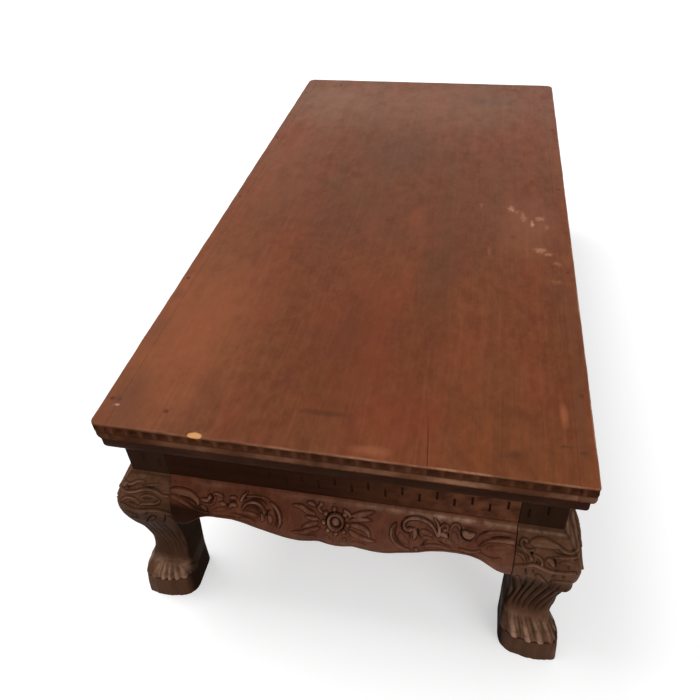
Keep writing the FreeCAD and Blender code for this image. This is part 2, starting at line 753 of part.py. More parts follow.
def make_legs():
    """Four like legs, each turned a quarter further round the table."""
    shape = make_leg_shape()
    for index, corner in enumerate(CORNERS):
        leg = doc.addObject("Part::Feature", f"leg_{corner}")
        leg.Label = f"leg_{corner}"
        leg.Shape = shape
        leg.Placement = corner_placement(index)
        parts[leg.Label] = leg


def corner_placement(index):
    """The corner frame of one leg in the table's frame."""
    ways = CORNER_WAYS[index]
    return FreeCAD.Placement(
        FreeCAD.Vector(ways[0] * size.top_width / 2,
                       ways[1] * size.top_length / 2, 0),
        FreeCAD.Rotation(FreeCAD.Vector(0, 0, 1), index * QUARTER_TURN))


def apron_section(length):
    """The apron's bulging section, carried along its length."""
    face_line = [FreeCAD.Vector(0, bulge_inset(outward),
                                between(ledge_foot, apron_foot, down))
                 for down, outward in BULGE_SHARES]
    bulge = Part.BSplineCurve()
    bulge.interpolate(Points=face_line)
    shoulder = FreeCAD.Vector(0, size.waist_inset, waist_foot)
    back_top = FreeCAD.Vector(0, waist_back, waist_foot)
    back_foot = FreeCAD.Vector(0, waist_back, apron_foot)
    wire = Part.Wire([
        Part.LineSegment(shoulder, face_line[0]).toShape(),
        bulge.toShape(),
        Part.LineSegment(face_line[-1], back_foot).toShape(),
        Part.LineSegment(back_foot, back_top).toShape(),
        Part.LineSegment(back_top, shoulder).toShape()])
    face = Part.Face(wire)
    face.translate(FreeCAD.Vector(-length / 2, 0, 0))
    return face.extrude(FreeCAD.Vector(length, 0, 0))


def smooth(points):
    """A smooth curve through points, level at both ends."""
    curve = Part.BSplineCurve()
    level = FreeCAD.Vector(math.copysign(1, points[-1].x - points[0].x), 0, 0)
    curve.interpolate(Points=points, InitialTangent=level, FinalTangent=level)
    return curve.toShape()


def apron_front_outline(length):
    """The apron seen from the front: straight above, cusped below."""
    half = length / 2
    before = -size.overrun
    lobe_reach = (size.top_width / 2 - size.leg_width - size.joint_drop
                  - size.brow_reach - size.level_run)
    brow = [FreeCAD.Vector(half - size.joint_drop - size.brow_reach * along,
                           before, apron_foot + size.apron_rise * up)
            for along, up in BROW_SHARES]
    lobe = [FreeCAD.Vector(lobe_reach * along, before,
                           apron_foot + size.apron_rise * up)
            for along, up in LOBE_SHARES]
    right = [Part.LineSegment(FreeCAD.Vector(half, before, apron_foot),
                              brow[0]).toShape(),
             smooth(brow),
             Part.LineSegment(brow[-1], lobe[0]).toShape(),
             smooth(lobe)]
    left = [edge.mirror(FreeCAD.Vector(0, 0, 0), FreeCAD.Vector(1, 0, 0))
            for edge in right]
    top = waist_foot + size.overrun
    corners = [FreeCAD.Vector(half, before, apron_foot),
               FreeCAD.Vector(half, before, top),
               FreeCAD.Vector(-half, before, top),
               FreeCAD.Vector(-half, before, apron_foot)]
    frame = [Part.LineSegment(a, b).toShape()
             for a, b in zip(corners, corners[1:])]
    wire = Part.Wire(Part.__sortEdges__(right + left + frame))
    face = Part.Face(wire)
    return face.extrude(
        FreeCAD.Vector(0, waist_back + 2 * size.overrun, 0))


def pebble(length, width, height, centre, turn):
    """A smooth raised oval, turned in the plane of the apron's face."""
    ball = Part.makeSphere(1)
    scale = FreeCAD.Matrix()
    scale.scale(length / 2, height, width / 2)
    oval = ball.transformGeometry(scale)
    oval.rotate(FreeCAD.Vector(0, 0, 0), FreeCAD.Vector(0, 1, 0), turn)
    oval.translate(centre)
    return oval


def face_spot(across, level):
    """The place on the apron's bulging face at one level."""
    down = (ledge_foot - level) / (ledge_foot - apron_foot)
    for (above, near), (below, far) in zip(BULGE_SHARES, BULGE_SHARES[1:]):
        if above <= down <= below:
            outward = between(near, far, (down - above) / (below - above))
            return FreeCAD.Vector(across, bulge_inset(outward), level)
    raise ValueError("The flower lies off the apron's face")


def around_flower(turn, distance):
    """A place on the face at a turn and a distance from the flower."""
    angle = math.radians(turn)
    return face_spot(math.cos(angle) * distance,
                     apron_foot + size.flower_rise
                     + math.sin(angle) * distance)


def flower():
    """A domed boss in a ring of petals, with leaves that point six ways."""
    pieces = [pebble(2 * size.boss_radius, 2 * size.boss_radius,
                     size.boss_height, around_flower(0, 0), 0)]
    for index in range(PETALS):
        turn = index * 2 * HALF_TURN / PETALS
        pieces.append(pebble(size.petal_length, size.petal_width,
                             size.petal_height,
                             around_flower(turn, size.petal_ring_radius),
                             -turn))
    for turn in LEAF_TURNS:
        pieces.append(pebble(size.leaf_length, size.leaf_width,
                             size.leaf_height,
                             around_flower(turn, size.leaf_distance), -turn))
    for turn in SIDE_LEAF_TURNS:
        pieces.append(pebble(size.leaf_length / 2, size.leaf_width / 2,
                             size.leaf_height,
                             around_flower(turn, size.side_leaf_distance),
                             -turn))
    return pieces


def make_apron_shape(run):
    """One bulging apron with its cusped edge, two tenons and a flower."""
    length = run - 2 * size.leg_width
    solid = apron_section(length).common(apron_front_outline(length))
    foot = apron_foot + size.apron_tenon_foot
    reach = length / 2 + size.apron_tenon_reach
    near = size.apron_tenon_inset
    far = size.apron_tenon_inset + size.apron_tenon_thickness
    head = foot + size.apron_tenon_height
    tenons = [box((-reach, near, foot), (-length / 2, far, head)),
              box((length / 2, near, foot), (reach, far, head))]
    solid = solid.multiFuse(tenons + flower())
    across = length / 2 + size.apron_tenon_reach / 2
    holes = [Part.makeCylinder(
        size.peg_radius + size.peg_gap, size.leg_width,
        FreeCAD.Vector(sign * across, 0, level), FreeCAD.Vector(0, 1, 0))
        for sign, level in zip((-1, 1), peg_levels)]
    return solid.cut(holes).removeSplitter()


def make_aprons():
    """Aprons on all four sides, the long ones like the short ones."""
    shapes = {run: make_apron_shape(getattr(size, run))
              for run in sorted(set(RUNS.values()))}
    for side in SIDES:
        apron = doc.addObject("Part::Feature", f"apron_{side}")
        apron.Label = f"apron_{side}"
        apron.Shape = shapes[RUNS[side]]
        on_side(apron, side)
        parts[apron.Label] = apron


def rod(name, radius, length, base, turn=None):
    """A round rod whose radius, length and foot are bound to sizes."""
    cylinder = doc.addObject("Part::Cylinder", name)
    if turn:
        cylinder.Placement.Rotation = turn
    bind(cylinder, Radius=radius, Height=length)
    for axis, text in zip("xyz", base):
        cylinder.setExpression(f"Placement.Base.{axis}", cells(text))
    return cylinder


def group(label, members):
    """Like fasteners kept together as one piece of separate solids."""
    together = doc.addObject("Part::Compound", label)
    together.Label = label
    together.Links = members
    parts[label] = together
    return together


def make_leg_pegs():
    """Two pegs in each leg, one through each apron's tenon."""
    middle = f"{APRON_FOOT} + apron_tenon_foot + apron_tenon_height / 2"
    across = "leg_width - apron_tenon_reach / 2"
    length = "leg_width - peg_tip_inset"
    toward_front = FreeCAD.Rotation(FreeCAD.Vector(1, 0, 0), QUARTER_TURN)
    toward_side = FreeCAD.Rotation(FreeCAD.Vector(0, 1, 0), -QUARTER_TURN)
    for index, corner in enumerate(CORNERS):
        front = rod("front_peg", "peg_radius", length,
                    (across, "leg_width", f"{middle} + peg_level_gap / 2"),
                    toward_front)
        side = rod("side_peg", "peg_radius", length,
                   ("leg_width", across, f"{middle} - peg_level_gap / 2"),
                   toward_side)
        pegs = group(f"joint_pegs_{corner}", [front, side])
        pegs.Placement = corner_placement(index)
        for axis, way, text in zip("xy", CORNER_WAYS[index],
                                   ("top_width / 2", "top_length / 2")):
            pegs.setExpression(f"Placement.Base.{axis}",
                               cells(f"{way} * {text}"))


def nail(along, across):
    """One nail: a shank under a flat head that lies flush with the top."""
    shank = rod("shank", "nail_radius", "nail_length - nail_head_height / 2",
                (along, across, "table_height - nail_length"))
    head = rod("head", "nail_head_radius", "nail_head_height",
               (along, across, "table_height - nail_head_height"))
    joined = doc.addObject("Part::MultiFuse", "nail")
    joined.Shapes = [shank, head]
    return joined


def make_nails():
    """Nails through the strips, and through both ends of the plank."""
    for side, way in STRIP_WAYS.items():
        edge = f"{way}(top_width / 2 - {STRIP_NAIL_INSET})"
        group(f"strip_nails_{side}",
              [nail(edge, spot) for spot in STRIP_NAILS[side]])
    for name, sign in (("front", -1), ("back", 1)):
        group(f"end_nails_{name}",
              [nail(along, f"{sign} * (top_length / 2 - {inset})")
               for along, inset in end_nail_spots()])


make_top_plank()
for side in STRIP_NAILS:
    make_top_strip(side)
for side in SIDES:
    make_rail(side)
    make_waist(side)
for name in BATTENS:
    make_batten(name)
make_legs()
make_aprons()
make_leg_pegs()
make_nails()

doc.recompute()
for thing in doc.Objects:
    if {"Invalid", "Error"} & set(thing.State):
        raise RuntimeError(f"{thing.Label} failed: {thing.State}")
for label, piece in parts.items():
    if piece.Shape.isNull() or not piece.Shape.isValid():
        raise RuntimeError(f"{label} has no valid shape")

os.makedirs("parts", exist_ok=True)
for label, piece in parts.items():
    piece.Shape.exportStep(f"parts/{label}.step")
    print(label, len(piece.Shape.Solids), round(piece.Shape.Volume))
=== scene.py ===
import math

import bpy
import numpy as np
from mathutils import Matrix, Vector


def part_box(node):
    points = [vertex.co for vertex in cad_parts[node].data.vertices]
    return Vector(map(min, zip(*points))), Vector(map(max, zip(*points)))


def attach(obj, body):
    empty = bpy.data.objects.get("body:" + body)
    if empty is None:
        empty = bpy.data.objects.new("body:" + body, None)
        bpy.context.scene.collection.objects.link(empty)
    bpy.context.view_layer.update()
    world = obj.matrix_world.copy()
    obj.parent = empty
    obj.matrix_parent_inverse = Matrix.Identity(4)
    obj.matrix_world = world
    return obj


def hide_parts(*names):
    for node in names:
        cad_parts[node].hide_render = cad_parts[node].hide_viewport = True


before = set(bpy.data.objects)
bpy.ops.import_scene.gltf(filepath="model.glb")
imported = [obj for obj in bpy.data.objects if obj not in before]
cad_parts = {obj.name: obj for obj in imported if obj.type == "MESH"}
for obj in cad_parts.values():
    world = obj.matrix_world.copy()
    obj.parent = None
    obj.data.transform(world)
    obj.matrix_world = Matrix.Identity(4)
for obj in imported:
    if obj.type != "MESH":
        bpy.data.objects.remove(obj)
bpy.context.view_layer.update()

# A low carved table. The origin is on the floor under the middle of the top,
# X runs across the top and Y along it. Lengths are millimetres until a mesh is
# made. A side frame has x along one side from its middle, y inward from the
# edge of the top and z up. A corner frame has x and y inward from two edges.
MM = 0.001
SIDES = ["front", "right", "back", "left"]
CORNERS = ["front_left", "front_right", "back_right", "back_left"]


def box_mm(node):
    """The lowest and highest corners of a node, in millimetres."""
    return [np.array(corner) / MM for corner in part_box(node)]


TOP = box_mm("top_plank")[1][2]
SLAB_FOOT = box_mm("top_plank")[0][2]
RAIL_FOOT = box_mm("moulding_rail_front")[0][2]
WAIST_FOOT = box_mm("waist_board_front")[0][2]
APRON_FOOT = box_mm("apron_front")[0][2]
HALF_LENGTH = box_mm("top_strip_right")[1][1]
HALF_WIDTH = box_mm("top_strip_right")[1][0]
PLANK_HALF = box_mm("top_strip_right")[0][0]
HALF_RUNS = {"front": HALF_WIDTH, "back": HALF_WIDTH,
             "right": HALF_LENGTH, "left": HALF_LENGTH}
NAIL_PROUD = 0.15
STRIP_WIDTH = HALF_WIDTH - PLANK_HALF
SLAB_HEIGHT = TOP - SLAB_FOOT
LEG_WIDTH = 59.0
WAIST_INSET = 16.0
APRON_BACK = 28.0


# Curves and small variations

def through(stations, where):
    """A smooth curve through (place, value) stations, read at where.

    Each stretch is the cubic that meets its two stations with the slopes of
    the lines between their neighbours.
    """
    places, values = np.array(stations, float).T
    slopes = np.gradient(values, places)
    index = np.clip(np.searchsorted(places, where, side="right") - 1,
                    0, len(places) - 2)
    run = places[index + 1] - places[index]
    t = np.clip((where - places[index]) / run, 0, 1)
    start, end = values[index], values[index + 1]
    leave, arrive = slopes[index] * run, slopes[index + 1] * run
    return ((2 * t ** 3 - 3 * t ** 2 + 1) * start + (t ** 3 - 2 * t ** 2 + t) * leave
            + (3 * t ** 2 - 2 * t ** 3) * end + (t ** 3 - t ** 2) * arrive)


def curve_line(points, steps=7):
    """Points along a smooth curve through given points."""
    points = np.array(points, float)
    share = np.arange(len(points))
    fine = np.linspace(0, len(points) - 1, (len(points) - 1) * steps + 1)
    return np.stack([through(list(zip(share, column)), fine)
                     for column in points.T], axis=1)


def wander(along, pitch, seed):
    """A gentle uneven swing from -1 to 1: three sines whose lengths never fit."""
    turn = 2 * math.pi * along / pitch
    return (np.sin(turn + seed) + np.sin(1.618 * turn + 2.4 * seed)
            + np.sin(0.707 * turn + 5.1 * seed)) / 3


def ease(value, start, end):
    """Zero before start, one after end, and smooth between."""
    t = np.clip((value - start) / (end - start), 0, 1)
    return t * t * (3 - 2 * t)


def lerp(start, end, share):
    """The value that lies a share of the way from start to end."""
    return start + (end - start) * share


def bell(gap, width):
    """One where the gap is zero, falling away to both sides as a bell does."""
    return np.exp(-(gap / width) ** 2)


# Uneven swings by what they move: height, pitch, and a seed of their own
SWINGS = {
    "notch drift": (0.08, 83, 0), "notch head": (0.5, 40, 0), "notch depth": (0.3, 31, 2),
    "edge wear": (0.9, 140, 1), "nosing": (0.3, 61, 0), "split": (0.25, 55, 0.9),
    "chip rim": (0.12, 5, 0.4), "plank across": (0.25, 260, 0.7),
    "plank along": (0.2, 420, 2.1), "apron along": (0.25, 47, 1.1),
    "apron down": (0.15, 23, 0.4), "apron ledge": (0.3, 130, 2.2),
    "waist along": (0.25, 90, 0.6), "waist up": (0.15, 19, 1.8), "adze": (0.3, 9, 0),
    "leg down": (0.25, 37, 0), "leg across": (0.2, 41, 1), "leg ledge": (0.3, 30, 0),
}

# Where things start and where they are whole, by what they are. Most are
# millimetres: below the top, up from the floor, or in from an edge or a joint.
SPANS = {
    "notch start": (0, 0.07), "notch end": (0, 0.1), "nosing start": (-0.3, 0.1),
    "roll head": (-0.5, 1), "roll foot": (6, 10), "edge light across": (-1, 0.4),
    "split end": (0, 120), "fresh split": (25, 75), "plank end": (-8, -5),
    "chip rim": (0.75, 1.1), "chip foot": (3.0, 4.2), "chip face": (0.5, 2),
    "chip top": (1, 3), "sag": (0, 30), "strip edge": (4, 6), "joint": (0.1, 1.0),
    "bead end": (12, 30), "apron carving": (0, 1.5), "apron foot": (1, 3),
    "apron light across": (-0.6, 0.8), "dull end": (-44, -14), "apron relief": (0.6, 2.2),
    "shade along": (-52, -28), "shade down": (108, 120),
    "open slots": (-0.8, 0.1), "waist gloom": (-0.4, 0.5), "waist edge": (0, 4),
    "waist light across": (-0.1, 1), "turned in": (0.35, 0.92), "front face": (-6, 6),
    "toe gaps": (234, 246), "plinth": (0, 2), "plinth dirt": (0, 3),
    "leg carving": (0, 1.2), "collar head": (0, 2), "toe swell": (244, 266),
    "adze": (4, 8), "wide knee head": (88, 100), "wide knee foot": (118, 140),
    "wide knee joint": (0, 12), "low knee head": (150, 166), "low knee foot": (163, 214),
    "low knee side": (4, 40), "toe tip": (0.8, 1.15), "tip depth": (264, 269),
    "toe rub": (232, 248), "inner toes": (44, 54), "outer toes": (4, 20),
    "leg relief": (0.5, 2), "toe relief": (0.3, 1.2), "shin head": (128, 145),
    "shin foot": (185, 205), "inner leg": (34, 54), "inner head": (106, 120),
    "inner foot": (220, 236), "lean": (30, 150), "outer lean foot": (28, 40),
    "outer lean head": (52, 74), "outer side": (0, 40), "turn back": (0, 50),
    "turn head": (50, 74), "turn side": (6, 40), "ankle side": (8, 40),
    "ankle foot": (68, 88), "ankle head": (104, 142),
}


def uneven(what, along, seed=0):
    """One of the swings, in its own height."""
    height, pitch, own_seed = SWINGS[what]
    return height * wander(along, pitch, seed + own_seed)


def rise(what, value):
    """Zero before the start of a span, one after its end."""
    return ease(value, *SPANS[what])


def fall(what, value):
    """One before the start of a span, zero after its end."""
    return 1 - rise(what, value)


# Meshes from grids of points

def signed_volume(points, faces):
    """Six times the volume inside triangles, negative when they face inward."""
    a, b, c = (points[faces[:, k]] for k in range(3))
    return float(np.einsum("ij,ij->i", a, np.cross(b, c)).sum())


CREASE_ANGLE = math.radians(40)


def grid_piece(name, points, marks, material, nodes):
    """A closed piece from a grid: rows along it, columns round each section.

    The two end sections are closed by flat caps, and marks are numbers kept
    at each point for the material to read.
    """
    rows, columns = points.shape[:2]
    index = np.arange(rows * columns).reshape(rows, columns)
    after = np.roll(index, -1, axis=1)
    quads = np.stack([index[:-1], after[:-1], after[1:], index[1:]],
                     axis=-1).reshape(-1, 4)
    flat = points.reshape(-1, 3)
    halves = np.concatenate([quads[:, [0, 1, 2]], quads[:, [0, 2, 3]]])
    caps = [index[0][::-1].tolist(), index[-1].tolist()]
    fans = [[cap[0], cap[k], cap[k + 1]] for cap in caps
            for k in range(1, len(cap) - 1)]
    if signed_volume(flat, np.concatenate([halves, np.array(fans)])) < 0:
        quads = quads[:, ::-1]
        caps = [cap[::-1] for cap in caps]
    mesh = bpy.data.meshes.new(name)
    mesh.from_pydata((flat * MM).tolist(), [], quads.tolist() + caps)
    mesh.polygons.foreach_set("use_smooth", [True] * len(mesh.polygons))
    mesh.update()
    mesh.set_sharp_from_angle(angle=CREASE_ANGLE)
    for key, values in marks.items():
        layer = mesh.attributes.new(key, "FLOAT", "POINT")
        layer.data.foreach_set("value", values.reshape(-1).astype(np.float32))
    mesh.materials.append(material)
    piece = bpy.data.objects.new(name, mesh)
    bpy.context.scene.collection.objects.link(piece)
    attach(piece, "root")
    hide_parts(*nodes)


def grid_normals(points):
    """The direction square to a grid surface at each point, by differences."""
    down = np.gradient(points, axis=0)
    across = np.roll(points, -1, axis=1) - np.roll(points, 1, axis=1)
    normal = np.cross(across, down)
    length = np.linalg.norm(normal, axis=-1, keepdims=True)
    return normal / np.maximum(length, 1e-9)


def turn_side(points, side):
    """Points drawn in the side frame, stood on their side of the table."""
    x, y, z = points[..., 0], points[..., 1] - HALF_RUNS[other_run(side)], points[..., 2]
    turned = {"front": (x, y), "right": (-y, x),
              "back": (-x, -y), "left": (y, -x)}[side]
    return np.stack([turned[0], turned[1], z], axis=-1)


def other_run(side):
    """The side whose half run says how far out this side lies."""
    return {"front": "right", "back": "right",
            "right": "front", "left": "front"}[side]


def turn_corner(points, corner):
    """Points drawn in the corner frame, stood at their corner of the table."""
    x, y, z = points[..., 0], points[..., 1], points[..., 2]
    turned = {"front_left": (x - HALF_WIDTH, y - HALF_LENGTH),
              "front_right": (HALF_WIDTH - y, x - HALF_LENGTH),
              "back_right": (HALF_WIDTH - x, HALF_LENGTH - y),
              "back_left": (y - HALF_WIDTH, HALF_LENGTH - x)}[corner]
    return np.stack([turned[0], turned[1], z], axis=-1)


# Carving: strokes of a gouge on a face, each (kind, half width, height,
# places), where a place is (across, depth below the top). A cut sinks, and
# every other kind stands up with a gutter round it.

GUTTER_SHARE = 0.55
GUTTER_WIDTH = 0.9
CUSHION_SHARE = 0.3
VEIN_SHARE = 0.35
VEIN_WIDTH = 0.25
TOE_START = 0.35
CUT_ENDS = 0.35
OVER_GUTTER = 0.5


def stroke_width(kind, share):
    """How wide a stroke is along its length, as a share of its widest."""
    swell = np.clip(np.sin(math.pi * share), 0, 1)
    if kind == "leaf":
        return 0.2 + 0.8 * np.clip(np.sin(math.pi * share ** 0.8), 0, 1) ** 0.7
    if kind == "tip":
        return 1 - 0.8 * share ** 1.4
    if kind == "toe":
        return 0.45 + 0.55 * share
    if kind == "curl":
        return 0.6 + 0.3 * swell + 0.6 * ease(share, 0.85, 1)
    return 0.5 + 0.5 * swell ** 0.5


def stroke_gap(across, depth, places):
    """How far each place lies from a stroke's line, and its share along it."""
    line = curve_line(places)
    runs = np.linalg.norm(np.diff(line, axis=0), axis=1)
    reach = np.concatenate([[0], np.cumsum(runs)]) / max(runs.sum(), 1e-9)
    gap = np.full(across.shape, np.inf)
    share = np.zeros(across.shape)
    for start, end, begin, finish in zip(line, line[1:], reach, reach[1:]):
        way = end - start
        span = max(float(way @ way), 1e-9)
        t = np.clip(((across - start[0]) * way[0]
                     + (depth - start[1]) * way[1]) / span, 0, 1)
        away = np.hypot(across - start[0] - t * way[0],
                        depth - start[1] - t * way[1])
        closer = away < gap
        gap = np.where(closer, away, gap)
        share = np.where(closer, lerp(begin, finish, t), share)
    return gap, share


def carve(across, depth, strokes):
    """Heights that raise and sink a face: strokes stand up, cuts go down.

    A stroke's section is a flattened half round on a low cushion that fades
    away from it, with a gutter at its foot. A leaf has a vein along it, and a
    toe rises along its length. A cut's section is a bell curve.
    """
    raised = np.zeros(across.shape)
    cushion = np.zeros(across.shape)
    gutter = np.zeros(across.shape)
    sunk = np.zeros(across.shape)
    for kind, half_width, height, places in strokes:
        spots = np.array(places, float)
        margin = 3 * half_width + 3 * GUTTER_WIDTH
        low, high = spots.min(axis=0) - margin, spots.max(axis=0) + margin
        near = ((across > low[0]) & (across < high[0])
                & (depth > low[1]) & (depth < high[1]))
        if not near.any():
            continue
        gap, share = stroke_gap(across[near], depth[near], places)
        if kind == "cut":
            ends = lerp(CUT_ENDS, 1, np.clip(np.sin(math.pi * share), 0, 1) ** 0.6)
            groove = height * ends * bell(gap, half_width)
            sunk[near] = np.maximum(sunk[near], groove)
            continue
        width = half_width * stroke_width(kind, share)
        bump = height * np.clip(1 - (gap / width) ** 2, 0, 1) ** 0.75
        if kind == "leaf":
            bump *= 1 - VEIN_SHARE * bell(gap, VEIN_WIDTH * half_width)
        if kind == "toe":
            bump *= lerp(TOE_START, 1, share)
        pillow = CUSHION_SHARE * height * bell(gap, 1.3 * half_width + 1)
        ditch = GUTTER_SHARE * height * bell(gap - width, GUTTER_WIDTH)
        raised[near] = np.maximum(raised[near], bump)
        cushion[near] = np.maximum(cushion[near], pillow)
        gutter[near] = np.maximum(gutter[near], ditch)
    hidden = np.clip(1 - raised / OVER_GUTTER, 0, 1)
    return np.maximum(raised, cushion), gutter * hidden + sunk


# Colours of the finishes, as linear red, green and blue

def tone(red, green, blue):
    """A colour given as it looks on a screen, 0 to 255, made linear."""
    shares = [level / 255 for level in (red, green, blue)]
    return [share / 12.92 if share <= 0.04045
            else ((share + 0.055) / 1.055) ** 2.4 for share in shares] + [1]


RAGGED_SWING = 0.9


class Finish:
    """A material under construction: nodes are added and joined by name."""

    def __init__(self, name, roughness, gloss):
        self.material = bpy.data.materials.new(name)
        self.material.use_nodes = True
        self.tree = self.material.node_tree
        self.shader = self.tree.nodes["Principled BSDF"]
        self.shader.inputs["Roughness"].default_value = roughness
        self.shader.inputs["Specular IOR Level"].default_value = gloss
        self.place = self.node("ShaderNodeTexCoord").outputs["Object"]

    def node(self, kind, **settings):
        """A new node with some of its settings set."""
        made = self.tree.nodes.new(kind)
        for key, setting in settings.items():
            setattr(made, key, setting)
        return made

    def feed(self, socket, source):
        """Join a source to a socket, or set the socket to a plain value."""
        if isinstance(source, bpy.types.NodeSocket):
            self.tree.links.new(source, socket)
        else:
            socket.default_value = source

    def grain(self, scale, stretch, detail=4, rough=0.55, warp=0.0):
        """Noise whose cells are stretched by (x, y, z), from 0 to 1."""
        mapping = self.node("ShaderNodeMapping")
        self.feed(mapping.inputs["Vector"], self.place)
        mapping.inputs["Scale"].default_value = stretch
        noise = self.node("ShaderNodeTexNoise")
        self.feed(noise.inputs["Vector"], mapping.outputs["Vector"])
        noise.inputs["Scale"].default_value = scale
        noise.inputs["Detail"].default_value = detail
        noise.inputs["Roughness"].default_value = rough
        noise.inputs["Distortion"].default_value = warp
        return noise.outputs["Fac"]

    def mark(self, name):
        """A number kept at each point of the piece."""
        return self.node("ShaderNodeAttribute", attribute_name=name).outputs["Fac"]

    def steps(self, source, *stops):
        """A number turned by a ramp of (place, level) stops."""
        ramp = self.node("ShaderNodeValToRGB")
        self.feed(ramp.inputs["Fac"], source)
        elements = ramp.color_ramp.elements
        while len(elements) < len(stops):
            elements.new(0.5)
        for element, (spot, level) in zip(elements, stops):
            element.position = spot
            element.color = (level, level, level, 1)
        return ramp.outputs["Color"]

    def layer(self, scale, stretch, ramp, detail=4, rough=0.55, warp=0.0, low=0):
        """Noise made steep: low before the ramp's start, one after its end."""
        return self.steps(self.grain(scale, stretch, detail, rough, warp),
                          (ramp[0], low), (ramp[1], 1))

    def join(self, operation, first, second, clamp=True):
        """Two numbers joined by an operation."""
        node = self.node("ShaderNodeMath", operation=operation, use_clamp=clamp)
        self.feed(node.inputs[0], first)
        self.feed(node.inputs[1], second)
        return node.outputs["Value"]

    def mix(self, factor, first, second, blend="MIX"):
        """Two colours mixed by a factor."""
        node = self.node("ShaderNodeMix", data_type="RGBA", blend_type=blend)
        self.feed(node.inputs["Factor"], factor)
        self.feed(node.inputs["A"], first)
        self.feed(node.inputs["B"], second)
        return node.outputs["Result"]

    def veil(self, colour, factor, strength, shade):
        """A shade laid over a colour by a factor, at its strongest by strength."""
        return self.mix(self.join("MULTIPLY", factor, strength), colour, tone(*shade))

    def patch(self, centre, radius, ragged, rim, height=math.inf):
        """One inside a spot on the top and zero outside, with a ragged rim."""
        mapping = self.node("ShaderNodeMapping")
        self.feed(mapping.inputs["Vector"], self.place)
        sizes = [1 / (reach * MM) for reach in (*radius, height)]
        mapping.inputs["Scale"].default_value = sizes
        mapping.inputs["Location"].default_value = [
            -spot * MM * size for spot, size in zip((*centre, TOP), sizes)]
        length = self.node("ShaderNodeVectorMath", operation="LENGTH")
        self.feed(length.inputs[0], mapping.outputs["Vector"])
        swing = self.node("ShaderNodeMath", operation="MULTIPLY_ADD")
        self.feed(swing.inputs[0], ragged)
        swing.inputs[1].default_value = RAGGED_SWING
        swing.inputs[2].default_value = -RAGGED_SWING / 2
        reach = self.join("ADD", length.outputs["Value"], swing.outputs["Value"], False)
        return self.steps(reach, (rim[0], 1), (min(rim[1], 1.0), 0))

    def finish(self, colour, bumps, rough=None):
        """Join the colour, the roughness and a stack of (height, depth) bumps."""
        self.feed(self.shader.inputs["Base Color"], colour)
        if rough is not None:
            self.feed(self.shader.inputs["Roughness"], rough)
        normal = None
        for height, depth in bumps:
            bump = self.node("ShaderNodeBump")
            bump.inputs["Distance"].default_value = depth * MM
            bump.inputs["Strength"].default_value = 1
            self.feed(bump.inputs["Height"], height)
            if normal is not None:
                self.feed(bump.inputs["Normal"], normal)
            normal = bump.outputs["Normal"]
        if normal is not None:
            self.feed(self.shader.inputs["Normal"], normal)
        return self.material


ALONG_Y = (1, 0.045, 1)
ALONG_X = (0.045, 1, 1)
ALONG_Z = (1, 1, 0.06)
ALL_WAYS = (1, 1, 1)
CLOUD_STRENGTH = 0.5
PORE_STRENGTH = 0.35
PORE_BUMP = -0.12
SCUFF_BUMP = 0.25


def worn_wood(name, dark, light, wear_and_highlight_tone, dirt_and_shade, direction, gloss=0.03, roughness=0.5):
    """Stained wood: streaks along the grain, rubbed high points and painted highlights, and hollows
    darkened by dirt and by painted shade.
    """
    wood = Finish(name, roughness, gloss)
    streaks = wood.layer(95, direction, (0.3, 0.7), detail=5)
    pores = wood.layer(420, direction, (0.55, 0.72), detail=3)
    clouds = wood.layer(16, ALL_WAYS, (0.35, 0.68), detail=5, rough=0.6)
    colour = wood.mix(streaks, tone(*dark), tone(*light))
    colour = wood.veil(colour, clouds, CLOUD_STRENGTH, dark)
    colour = wood.veil(colour, pores, PORE_STRENGTH, dirt_and_shade)
    # Wear and painted highlight: rubbed high points, and highlights painted on ledges and toe tips
    wear_and_highlight_noise = wood.layer(75, ALL_WAYS, (0.35, 0.68), detail=5, rough=0.65, low=0.1)
    colour = wood.mix(wood.join("MULTIPLY", wood.mark("wear_and_highlight"), wear_and_highlight_noise), colour,
                      tone(*wear_and_highlight_tone))
    # Dirt and painted shade: dirt in hollows and joints, and shade painted where the table shades
    # itself
    grime_and_shade = wood.mark("dirt_and_shade")
    colour = wood.mix(grime_and_shade, colour, tone(*dirt_and_shade))
    shine = wood.join("MULTIPLY", wood.join("SUBTRACT", 1, grime_and_shade), gloss)
    wood.feed(wood.shader.inputs["Specular IOR Level"], shine)
    rough = wood.steps(clouds, (0, roughness - 0.1), (1, roughness + 0.12))
    scuffs = wood.grain(160, ALL_WAYS)
    return wood.finish(colour, [(pores, PORE_BUMP), (scuffs, SCUFF_BUMP)], rough)


carved_finish = worn_wood("carved red-brown wood", (78, 39, 25), (106, 62, 42),
                          (180, 142, 118), (32, 17, 10), ALONG_Z)
leg_finish = worn_wood("carved brown wood of the legs", (76, 47, 31), (104, 69, 48),
                       (176, 138, 114), (32, 20, 13), ALONG_Z)
